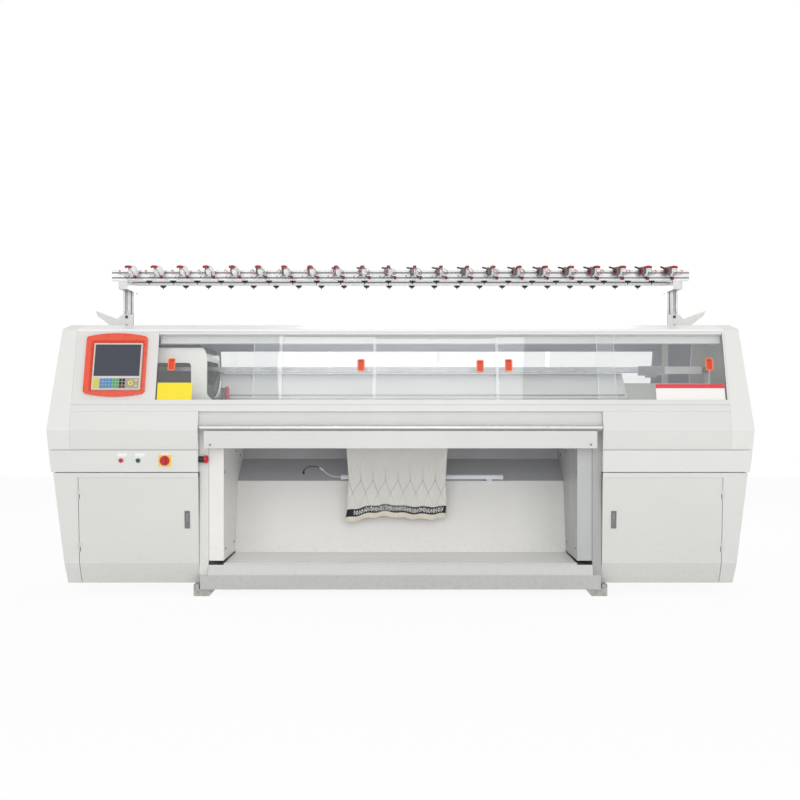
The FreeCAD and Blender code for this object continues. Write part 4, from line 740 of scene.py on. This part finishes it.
def eased(points, steps=6):
    """Smooth curve through the given points: each run is a cubic that leaves a point with the
    slope between the point's two neighbours (Catmull-Rom)."""
    p = np.asarray(points, dtype=float)
    p = np.vstack([2 * p[:1] - p[1:2], p, 2 * p[-1:] - p[-2:-1]])
    t = np.linspace(0, 1, steps, endpoint=False)[None, :, None]
    a, b, c, d = (p[i:len(p) - 3 + i, None] for i in range(4))
    run = 0.5 * (2 * b + (c - a) * t + (2 * a - 5 * b + 4 * c - d) * t ** 2
                 + (3 * b - a - 3 * c + d) * t ** 3)
    return np.vstack([run.reshape(-1, p.shape[1]), p[-2:-1]])


def turned(profile, centre, axis="z", count=12):
    """A profile of (radius, height) pairs turned round an axis through the centre."""
    profile = np.asarray(profile, dtype=float)
    ring = circle(1.0, count)
    radial = profile[:, None, 0, None] * ring[None]
    along = np.repeat(profile[:, None, 1, None], count, axis=1)
    order = {"z": (0, 1, 2), "x": (2, 0, 1), "y": (1, 2, 0)}[axis]
    grid = np.concatenate([radial, along], axis=-1)[..., order]
    return grid + np.asarray(centre, dtype=float)


steel_parts = metal("bright_parts", rgb(204, 206, 210), (1, 1, 1), 0.15, 1.0, 0.00001)
bolt = [(0.0, 0.0), (0.0032, 0.0), (0.0032, 0.0022), (0.0024, 0.003), (0.0, 0.003)]
bolt = turned(bolt, (0, 0, 0), "y", 10) * (1, -1, 1)
eye_path = [(0, 0, 1.178), (0.002, 0, 1.194), (0.008, -0.003, 1.202), (0.014, -0.004, 1.197),
            (0.01, -0.002, 1.19), (0.004, 0, 1.192)]
for number, block_y in ((1, -0.045), (2, -0.015), (3, 0.015)):
    body = "yarn_carrier_%d" % number
    low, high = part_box(body)
    middle, front = (low[0] + high[0]) / 2, block_y - 0.009
    bar = carried([(middle + x, front - 0.003, 1.16) for x in np.linspace(-0.052, 0.052, 9)],
                  oblong(0.0055, 0.022), (0, 1, 0))
    skin("carrier_%d_stop_bar" % number, bar, carrier_steel, body, smooth=False)
    steps = [(middle + x, front - 0.0055, 1.16) for x in (-0.04, -0.014, 0.014, 0.04)]
    skin("carrier_%d_bolts" % number, repeated(bolt, steps), butt_steel, body,
         capped=False, smooth=False)
    yarn_eye = eased(np.array(eye_path) + (middle, block_y, 0))
    skin("carrier_%d_yarn_eye" % number, carried(yarn_eye, circle(0.0009, 6), (0, 1, 0)),
         steel_parts, body)

# ======== carriage
# A white moulded bow stands over the cam boxes, which carry it along the beds on the guide rails.
# The cast boxes are dark grey, and the inside of the bow is painted near black as shade. A feeder
# switch hangs at its right.
bow_white = rgb(250, 247, 242)
bow_plastic = plastic("bow_plastic", bow_white, gloss=0.05, grain=500.0)
tree, place = opened(bow_plastic)
low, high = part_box("carriage_cover")
wall = 0.0036
# Inside its walls the white bow is painted near black, as painted shade.
inside = patch(tree, place, (low[0] + wall, low[1] + wall, low[2] - 0.01),
               (high[0] - wall, high[1] - wall, high[2] - wall))
two_tone(tree, inside, bow_white, rgb(30, 31, 36))
dress(bow_plastic, "carriage_cover")
cast_paint = paint("cast_paint", rgb(46, 48, 54), 0.15, grain=700.0, peel=0.0001)
dress(cast_paint, "carriage_cam_boxes")

# The bow's right leg stands on a white foot that flares out over the face of the cam box.
fall = np.linspace(0.0, 1.0, 12)[:, None]
outline = np.array([(-1, -0.6), (-0.96, -1), (0.96, -1), (1, -0.6), (1, 1), (-1, 1)])
left_edge, right_edge = low[0] + 0.477 - 0.006 * fall, high[0] + 0.036 * fall ** 2
foot_x = (left_edge + right_edge) / 2 + outline[:, 0] * (right_edge - left_edge) / 2
foot_y = low[1] - 0.0015 + 0.005 * outline[:, 1] + 0 * fall
foot_z = low[2] + 0.0005 - 0.0465 * fall + 0 * foot_y
skin("bow_foot", np.stack([foot_x, foot_y, foot_z], axis=-1), bow_plastic, "carriage",
     smooth=False)

# The switch: a grey coil with ribs, a pale holder leaning over it and a red lever in front.
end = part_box("carriage_cam_boxes")[1][0]
grey_plastic = plastic("grey_plastic", rgb(98, 99, 100), grain=700.0)
ribs, coil_height = np.linspace(0, 1, 25), 0.064
coil = np.stack([0.015 + 0.002 * np.sign(np.sin(ribs * 2 * math.pi * 6)), ribs * coil_height],
                axis=-1)
coil = np.vstack([[(0.0, 0.0)], coil, [(0.0, coil_height)]])
skin("feeder_switch_coil", turned(coil, (end + 0.044, -0.196, 0.996), count=20), grey_plastic,
     "carriage", capped=False, smooth=False)
holder = [(0, -0.205, 1.01), (0.014, -0.206, 1.022), (0.026, -0.206, 1.052),
          (0.03, -0.205, 1.096)]
lever = [(0.06, -0.208, 1.066), (0.066, -0.211, 1.046), (0.063, -0.214, 1.024),
         (0.069, -0.214, 1.002)]
for name, path, section, material, slot in (
        ("holder", holder, (0.004, 0.046), bow_plastic, "white_plastic"),
        ("lever", lever, (0.016, 0.0065), red_plastic, "red_plastic")):
    path = eased(np.array(path) + (end, 0, 0))
    skin("feeder_switch_" + name, carried(path, oblong(*section)), material, "carriage")

# ======== drive, control box and rollers
# A toothed rubber belt on two pulleys pulls the carriage, turned by a motor at the left. The
# take-down rollers under the beds are steel shafts in grey rubber sleeves with a knurled surface.
ribbed, place, given = effect("ribbed_rubber", ("Colour", "Pitch"))
turns = maths(ribbed, "DIVIDE", parts(ribbed, place)[0], given["Pitch"])
wave = maths(ribbed, "SINE", times(ribbed, turns, 2 * math.pi))
bloom = noise(ribbed, place, 24.0, 3.0)
feed(ribbed, Colour=shaded(ribbed, given["Colour"], spread(ribbed, bloom, 1.15, 0.85)),
     Roughness=spread(ribbed, bloom, 0.62, 0.78), Height=ranged(ribbed, wave, -0.3, 0.3))
belt_rubber = finish("belt_rubber", ribbed, {"Colour": rgb(32, 32, 34), "Pitch": 0.005},
                     bump=0.0006)
dress(belt_rubber, "drive_belt")
roller_rubber = finish("roller_rubber", ribbed, {"Colour": rgb(176, 177, 178), "Pitch": 0.004},
                       bump=0.0002)
dress(roller_rubber, "take_down_roller", "pinch_roller")
dress(steel_parts, "drive_pulley", "idler_pulley")
dress(paint("motor_paint", rgb(52, 54, 58), 0.1, 0.1, 700.0, 0.0001), "drive_motor")
dress(paint("box_paint", rgb(188, 190, 188), 0.08, 0.1, 380.0, 0.00006), "control_box")

# ======== knitted cloth
# The panel being knitted: cream wool in stocking stitch with transferred stitches that draw fine
# zigzag lines, a dark border with a plain lozenge pattern, and a short frilled hem. It hangs from
# the needles, passes between the take-down rollers and swings free in the bay.
columns, rows = 214, 212
across, down = np.meshgrid(np.linspace(0, 1, columns), np.linspace(0, 1, rows))
hem = np.interp(across, [0, 0.12, 0.22, 0.36, 0.5, 0.62, 0.78, 1],
                [0.33, 0.343, 0.356, 0.366, 0.362, 0.354, 0.35, 0.354])
hem = hem + 0.0035 * np.sin(across * 2 * math.pi * 5.3 + 0.8)
cloth_top = 1.1178
high = cloth_top - down * (cloth_top - hem)
left = np.interp(high, [0.33, 0.4, 0.56, 0.74, 1.12], [-0.302, -0.29, -0.281, -0.294, -0.296])
right = np.interp(high, [0.35, 0.45, 0.56, 0.74, 1.12], [0.24, 0.251, 0.244, 0.256, 0.258])
x = left + across * (right - left)
# Folds: each takes its share of the width and swings forward or back like half a sine wave, more
# the lower it hangs. A second, finer wave runs through the frill.
edges = np.cumsum([0, 0.12, 0.08, 0.11, 0.07, 0.13, 0.09, 0.1, 0.08, 0.12, 0.1])
fold = np.clip(np.searchsorted(edges, across, side="right") - 1, 0, 9)
inside = (across - edges[fold]) / (edges[fold + 1] - edges[fold])
swing = np.interp(high, [0.33, 0.47, 0.62, 0.785, 1.118], [0.0125, 0.008, 0.0042, 0.0002, 0.0002])
y = np.where(fold % 2 == 0, -1.0, 1.0) * swing * np.sin(np.pi * inside)
free = np.clip((0.76 - high) / 0.12, 0, 1)
y = y + free * 0.0012 * np.sin(across * 61 + 9 * high) * np.sin(high * 43 + across * 7)
y = y - 0.01 * free * np.clip((0.7 - high) / 0.37, 0, 1) ** 1.5
above_hem = high - hem
frill = np.clip(1 - above_hem / 0.03, 0, 1)
y = y + frill * (0.005 * np.sin(across * 2 * math.pi * 8.7 + 0.4)
                 + 0.0022 * np.sin(across * 2 * math.pi * 21))
# Zigzag lines: between two heights they leave a point every 71 mm at an even slope, and above and
# below it they run on more steeply and fade away.
point_gap, half_gap = 0.071, 0.0355
wide = across * 0.554 + 0.004 * np.sin(high * 30)
from_point = (wide - 0.03) / point_gap
from_point = np.abs(from_point - np.round(from_point)) * point_gap
rise = (high - 0.494) / 0.066
zigzag = np.where(rise > 1, half_gap - 0.0085 * np.clip((rise - 1) / 1.4, 0, 1), half_gap * rise)
zigzag = np.where(rise < 0, 0.026 * -rise, zigzag)
strength = np.interp(high, [0.44, 0.47, 0.5, 0.56, 0.575, 0.62, 0.7],
                     [0.25, 0.4, 1, 1, 0.5, 0.22, 0.0])
line = strength * np.exp(-((from_point - zigzag) / 0.0016) ** 2)
knot = np.exp(-((from_point - half_gap) / 0.0028) ** 2 - ((high - 0.561) / 0.0035) ** 2)
line = np.clip(line + knot, 0, 1)
ribs = free * np.clip((high - 0.5) / 0.1, 0, 1)
ribs = ribs * np.cos((wide + 0.002 * np.sin(high * 47)) * 2 * math.pi / 0.0142)
y = y - 0.0011 * ribs + 0.0013 * line
# The border follows the hem, 28 to 67 mm above it. Lozenges stand 27 mm apart with a bar between.
band = ((above_hem > 0.028) & (above_hem < 0.067)).astype(float)
level = (above_hem - 0.0475) / 0.0125
step = (wide / 0.027) - np.round(wide / 0.027)
lozenge = np.abs(np.abs(step) / 0.3 + np.abs(level) - 0.85) < 0.3
bar = (np.abs(np.abs(step) - 0.5) < 0.07) & (np.abs(level) < 1.0)
dashes = (np.abs(np.abs(level) - 1.32) < 0.09) & (np.sin(wide * 2 * math.pi / 0.009) > 0)
motif = band * (lozenge | bar | dashes) * (across > 0.07) * (across < 0.975)
draped = np.stack([x, y, high], axis=-1)
cloth = skin("knitted_panel", draped[:, ::-1], around=False, capped=False)
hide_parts("knitted_cloth")
mesh = cloth.data
marks = {"lines": line, "border": band, "motif": motif, "frill": (above_hem < 0.028) * 1.0}
for name, values in marks.items():
    layer = mesh.attributes.new(name, "FLOAT", "POINT")
    layer.data.foreach_set("value", np.ascontiguousarray(values[:, ::-1]).ravel())
layer = mesh.uv_layers.new(name="flat")
flat = np.stack([wide, high], axis=-1)[:, ::-1].reshape(-1, 2)
corner = np.empty(len(mesh.loops), dtype=np.int32)
mesh.loops.foreach_get("vertex_index", corner)
layer.data.foreach_set("uv", flat[corner].ravel())
thicken(cloth, 0.0024, 0.0)

# Stocking stitch: loops in columns, each a V. A place's height in its row shifts by how far it lies
# from the column's middle, so that the loops' two legs slope to a point.
stitches, place, given = effect("stocking_stitch", ("Colour", "Wide", "Tall"))
column, row, _ = parts(stitches, add(stitches, "UVMap", uv_map="flat").outputs[0])
column = maths(stitches, "FRACT", maths(stitches, "DIVIDE", column, given["Wide"]))
leg = times(stitches, maths(stitches, "ABSOLUTE", maths(stitches, "SUBTRACT", column, 0.5)), 2.0)
row = maths(stitches, "DIVIDE", row, given["Tall"])
row = maths(stitches, "FRACT", maths(stitches, "SUBTRACT", row, times(stitches, leg, 0.8)))
loop = maths(stitches, "SINE", times(stitches, row, math.pi))
edge = maths(stitches, "SINE", times(stitches, leg, math.pi))
relief = times(stitches, loop, maths(stitches, "SQRT", maths(stitches, "MAXIMUM", edge, 0.0)))
fuzz = noise(stitches, place, 420.0, 3.0)
# Where the relief is low, between the loops, the wool is painted up to 14% darker, as shade.
tone = times(stitches, ranged(stitches, relief, 0.0, 0.8, 0.86, 1.0),
             spread(stitches, noise(stitches, place, 11.0, 3.0), 0.96, 1.0))
feed(stitches, Colour=shaded(stitches, given["Colour"], tone),
     Roughness=spread(stitches, fuzz, 0.82, 0.96),
     Height=maths(stitches, "ADD", relief, times(stitches, fuzz, 0.35)))
wool = rgb(244, 242, 237)
knit = finish("cream_knit", stitches, {"Colour": wool, "Wide": 0.0024, "Tall": 0.0019},
              {"Sheen Weight": 0.3, "Sheen Roughness": 0.4}, bump=0.0005)
tree = knit.node_tree
masks = {name: add(tree, "Attribute", attribute_name=name).outputs["Fac"] for name in marks}
colour = blended(tree, times(tree, masks["lines"], 0.62), wool, rgb(120, 116, 108))
colour = blended(tree, masks["frill"], colour, rgb(246, 238, 220))
colour = blended(tree, ranged(tree, masks["border"], 0.4, 0.6), colour, rgb(34, 36, 40))
two_tone(tree, ranged(tree, masks["motif"], 0.4, 0.6), colour, rgb(248, 248, 246))
cloth.data.materials.append(knit)
run = float(np.linalg.norm(np.diff(draped, axis=1), axis=-1).sum(axis=1).mean())
fall = float(np.linalg.norm(np.diff(draped, axis=0), axis=-1).sum(axis=0).mean())

# ======== bay lamp and its lead
# A slim LED batten under the bend of the back sheet: a milky tube between two pale caps. A thin
# lead comes out of the back sheet through a rubber boot, black to a small connector, white after.
low, high = np.array(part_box("lamp"))
lamp_plastic = plastic("lamp_plastic", rgb(222, 224, 228), gloss=0.1)
tree, place = opened(lamp_plastic)
caps_off = np.array((0.018, -0.01, -0.01))
tube = patch(tree, place, low + caps_off, high - caps_off)
two_tone(tree, tube, rgb(230, 230, 228), rgb(232, 236, 246))
dress(lamp_plastic, "lamp")

route = [(-0.541, 0.167854, 0.587083), (-0.541, 0.159, 0.604), (-0.529, 0.152, 0.618),
         (-0.506, 0.142, 0.629), (-0.478, 0.131, 0.631), (-0.45, 0.121, 0.624),
         (-0.427, 0.112, 0.609), (-0.406, 0.102, 0.591), (-0.383, 0.093, 0.579),
         (-0.356, 0.0884, 0.5742), (-0.328, 0.0872, 0.5731)]
line = bpy.data.curves.new("lamp_lead", "CURVE")
line.dimensions = "3D"
line.resolution_u = 8
spline = line.splines.new("NURBS")
spline.points.add(len(route) - 1)
spline.points.foreach_set("co", np.column_stack([route, np.ones(len(route))]).ravel())
spline.points.foreach_set("radius", np.full(len(route), 0.01))
spline.order_u = 3
spline.use_endpoint_u = True
lead = bpy.data.objects.new("lamp_lead", line)
scene.collection.objects.link(lead)
bpy.context.view_layer.update()
read = bpy.data.meshes.new_from_object(lead)
centre = np.array([point.co[:] for point in read.vertices])
bpy.data.meshes.remove(read)
line.bevel_depth = 0.25    # times the points' radius, 0.01
line.bevel_resolution = 5
line.use_fill_caps = True
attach(lead, "machine")

lead_black, white_from = rgb(30, 30, 32), -0.4385
jacket = plastic("lead_jacket", lead_black, grain=1200.0)
tree, place = opened(jacket)
white_part = over(tree, parts(tree, place)[0], white_from)
two_tone(tree, white_part, lead_black, rgb(222, 222, 218))
line.materials.append(jacket)
travelled = np.concatenate([[0], np.cumsum(np.linalg.norm(np.diff(centre, axis=0), axis=1))])


def round_lead(name, start, end, radii, material):
    """A sleeve on the lead between two distances along it. Its radii are at even steps."""
    at = np.linspace(start, end, len(radii))
    path = np.stack([np.interp(at, travelled, centre[:, axis]) for axis in range(3)], axis=-1)
    rings = carried(path, circle(1.0, 16), towards=(0, 1, 0.2))
    rings = path[:, None] + (rings - path[:, None]) * np.asarray(radii)[:, None, None]
    return skin(name, rings, material, "machine")


halfway = float(np.interp(white_from, centre[:, 0], travelled))
white_plastic = plastic("white_plastic", rgb(228, 229, 228), gloss=0.05)
radii = [0.0034, 0.005, 0.0055, 0.0055, 0.0049, 0.0049, 0.0055, 0.0055, 0.0055, 0.0042]
connector = round_lead("lead_connector", halfway - 0.013, halfway + 0.013, radii, white_plastic)
rubber = plastic("soft_rubber", rgb(34, 34, 35), grain=1500.0)
radii = [0.0062, 0.0062, 0.005, 0.0052, 0.0042, 0.0044, 0.0035, 0.0036, 0.0029]
boot = round_lead("lead_boot", 0.0, 0.02, radii, rubber)
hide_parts("lamp_cord")

# ======== yarn stand
# Two slotted aluminium posts carry a front and a rear rail over the roof. White sheet brackets
# steady them at the foot, held by black bolts, and a thin steel rod runs up beside each post.
alloy_grey, post_grey = rgb(216, 217, 216), rgb(190, 191, 190)
alloy = metal("drawn_alloy", alloy_grey, (0.02, 1, 1), 0.07, 0.35)
tree, place = opened(alloy)
# The rails' grooves are painted darker grey, as shade in them.
shaded_grooves = [patch(tree, place, (-1.6, front + 0.0006, height - 0.0045),
                 (1.6, front + 0.0066, height + 0.0045))
           for front, height in ((-0.015, 1.659), (-0.015, 1.686), (0.235, 1.6615))]
two_tone(tree, any_of(tree, shaded_grooves), alloy_grey, rgb(132, 134, 136))
dress(alloy, "yarn_rails")
post_alloy = metal("post_alloy", post_grey, (1, 1, 0.02), 0.16)
tree, place = opened(post_alloy)
place = vectors(tree, "ABSOLUTE", place)
bracket = patch(tree, place, (1.474, 0.1066, 1.3885), (1.694, 0.1131, 1.4915))
bolt = patch(tree, place, (1.505, 0.09, 1.3988), (1.523, 0.1066, 1.466))
bare = maths(tree, "SUBTRACT", maths(tree, "SUBTRACT", 0.6, bracket), bolt, clamp=True)
tree.links.new(bare, tree.nodes["Principled BSDF"].inputs["Metallic"])
colour = blended(tree, bracket, post_grey, rgb(226, 226, 223))
colour = blended(tree, bolt, colour, rgb(22, 22, 24))
# The posts' two grooves are painted darker grey, as shade in them.
shaded_grooves = [patch(tree, place, (middle - 0.0045, 0.1136, 1.3885), (middle + 0.0045, 0.1196, 1.6))
           for middle in (1.489, 1.519)]
two_tone(tree, any_of(tree, shaded_grooves), colour, rgb(134, 136, 138))
dress(post_alloy, "stand_posts")

black_plastic = plastic("black_plastic", rgb(26, 26, 28))
dress(black_plastic, "yarn_guides")

# ======== yarn tension units
# Twenty-two units stand in front of the front rail, fanned so that each faces its own yarn. Each
# has a drum with a white dome and, on its other side, a grey plate with a red disc, a red paddle
# and a black horn on top, a red ball on a black stem, and wires to a clear yarn eye in front.
unit_x = np.linspace(-1.441, 1.441, 22)
unit_turn = np.radians(np.linspace(-62, 40, 22))
unit_y, unit_z = -0.052, 1.69


def at_units(grid):
    """One copy of a grid for each unit, turned about the upright axis and moved to its place."""
    cos, sin = np.cos(unit_turn)[:, None, None], np.sin(unit_turn)[:, None, None]
    x = grid[None, ..., 0] * cos - grid[None, ..., 1] * sin + unit_x[:, None, None]
    y = grid[None, ..., 0] * sin + grid[None, ..., 1] * cos + unit_y
    return np.stack([x, y, np.broadcast_to(grid[None, ..., 2] + unit_z, x.shape)], axis=-1)


def rounded(width, height, radius, count=6):
    """Section of a bar with rounded corners: quarter circles about the four corner centres."""
    turn = np.linspace(0, math.pi / 2, count)
    corners = []
    for quarter, (x, y) in enumerate(((1, 1), (-1, 1), (-1, -1), (1, -1))):
        middle = (x * (width / 2 - radius), y * (height / 2 - radius))
        angle = turn + quarter * math.pi / 2
        corners.append(np.stack([np.cos(angle), np.sin(angle)], axis=-1) * radius + middle)
    return np.vstack(corners)


def unit_part(name, grid, material):
    return skin("tension_" + name, at_units(grid), material, "machine")


def unit_disc(name, profile, count, material):
    """A part of each unit that is turned about the unit's own axis."""
    return unit_part(name, turned(profile, (0, 0, 0), "x", count), material)


orange_red = plastic("lever_plastic", rgb(168, 48, 40), gloss=0.08)
dark_red = plastic("disc_plastic", rgb(128, 24, 34), gloss=0.08)
unit_grey = plastic("unit_grey", rgb(112, 114, 115))
dome_plastic = plastic("dome_plastic", rgb(236, 236, 236), gloss=0.2, plain={"Coat Weight": 0.4})
clear_plastic = plastic("curl_plastic", rgb(226, 178, 184), gloss=0.15,
                        plain={"Transmission Weight": 0.6, "IOR": 1.46})
ball, dome_height, near_axis = 0.0325, 0.02, 0.0005
height = np.linspace(0.0, dome_height, 9)
cap = np.sqrt(np.maximum(ball ** 2 - (height + ball - dome_height) ** 2, 1e-9))
cap = np.stack([cap, height + 0.009], axis=-1)
cap = np.vstack([[(near_axis, 0.0076), (0.0294, 0.0076)], cap])
domes = unit_disc("domes", cap, 24, dome_plastic)
drum = [(near_axis, -0.0082), (0.0214, -0.0082), (0.0214, -0.0046), (0.0192, -0.004),
        (0.0192, 0.004), (0.0214, 0.0046), (0.0214, 0.0079), (near_axis, 0.0079)]
unit_disc("drums", drum, 24, unit_grey)
plate = carried([(x, 0, 0) for x in (-0.0132, -0.0126, -0.0086, -0.008)],
                rounded(0.044, 0.044, 0.008), (0, 1, 0))
plate[[0, -1]] = plate[[0, -1]] * (1, 0.96, 0.96)
unit_part("plates", plate, unit_grey)
disc = [(near_axis, -0.0172), (0.013, -0.0172), (0.0152, -0.016), (0.0152, -0.0128),
        (near_axis, -0.0128)]
unit_disc("discs", disc, 20, dark_red)
nut = [(near_axis, -0.0205), (0.0046, -0.0205), (0.0052, -0.0195), (0.0052, -0.017),
       (near_axis, -0.017)]
unit_disc("nuts", nut, 6, black_plastic)
paddle = eased([(0.009, -0.01, 0.019), (0.012, -0.022, 0.022), (0.014, -0.036, 0.022),
                (0.014, -0.046, 0.0185)], 4)
unit_part("paddles", carried(paddle, rounded(0.019, 0.013, 0.0045, 3)), orange_red)
horn = eased([(-0.004, 0.017, 0.016), (-0.018, 0.0175, 0.0185), (-0.038, 0.018, 0.0225)], 4)
horn = carried(horn, rounded(0.01, 0.0085, 0.003, 3), (0, 1, 0))
unit_part("horns", horn, black_plastic)
ball_place = (0.04, 0.0, -0.035)
stem = carried([(0.002, 0.0, -0.0165), (0.02, 0.0008, -0.0255), ball_place], circle(0.003, 8),
               (0, 1, 0))
unit_part("stems", stem, black_plastic)
angle = np.linspace(0.04, math.pi - 0.04, 9)
knob = np.stack([0.0092 * np.sin(angle), -0.0092 * np.cos(angle)], axis=-1)
unit_part("balls", turned(knob, ball_place, "z", 14), dark_red)
turn = np.linspace(-0.5, 2.5, 32) * math.pi
curl = np.stack([0.014 + 0.0105 * np.cos(turn), -0.0785 + 0.0009 * turn,
                 -0.01 + 0.0105 * np.sin(turn)], axis=-1)
unit_part("eyes", carried(curl, circle(0.0019, 6), (0, 1, 0)), clear_plastic)
arm = eased([(0.014, -0.004, -0.02), (0.013, -0.026, -0.022), (0.014, -0.052, -0.0215),
             (0.014, -0.077, -0.0205)], 4)
unit_part("arms", carried(arm, circle(0.0019, 6)), steel_parts)
wire = eased([(0.004, -0.016, 0.004), (0.02, -0.03, 0.01), (0.038, -0.03, 0.008),
              (0.048, -0.02, -0.006), (0.044, -0.012, -0.018), (0.036, -0.01, -0.02),
              (0.034, -0.012, -0.011), (0.041, -0.014, -0.008)], 5)
unit_part("arm_wires", carried(wire, circle(0.0014, 6), (0, 0.3, 1)), butt_steel)
feeler = eased([(-0.006, -0.006, -0.019), (-0.012, -0.022, -0.03), (-0.024, -0.034, -0.036),
                (-0.034, -0.036, -0.033), (-0.036, -0.032, -0.027), (-0.031, -0.03, -0.025)], 5)
unit_part("feeler_wires", carried(feeler, circle(0.0018, 6), (0, 1, 0.2)), butt_steel)
foot = [(near_axis, 0.0), (0.007, 0.0), (0.007, 0.034), (0.011, 0.034), (0.011, 0.037),
        (near_axis, 0.037)]
steps = np.stack([unit_x, 0 * unit_x + unit_y, 0 * unit_x + 1.686], axis=-1)
skin("tension_feet", repeated(turned(foot, (0, 0, 0), "y", 14), steps), steel_parts, "machine")
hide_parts("tension_units")

# ======== screws
# Pan-head screws hold the linings and the apron. They are zinc plated, like the lock levers.
dress(steel_plate, "cover_screws")
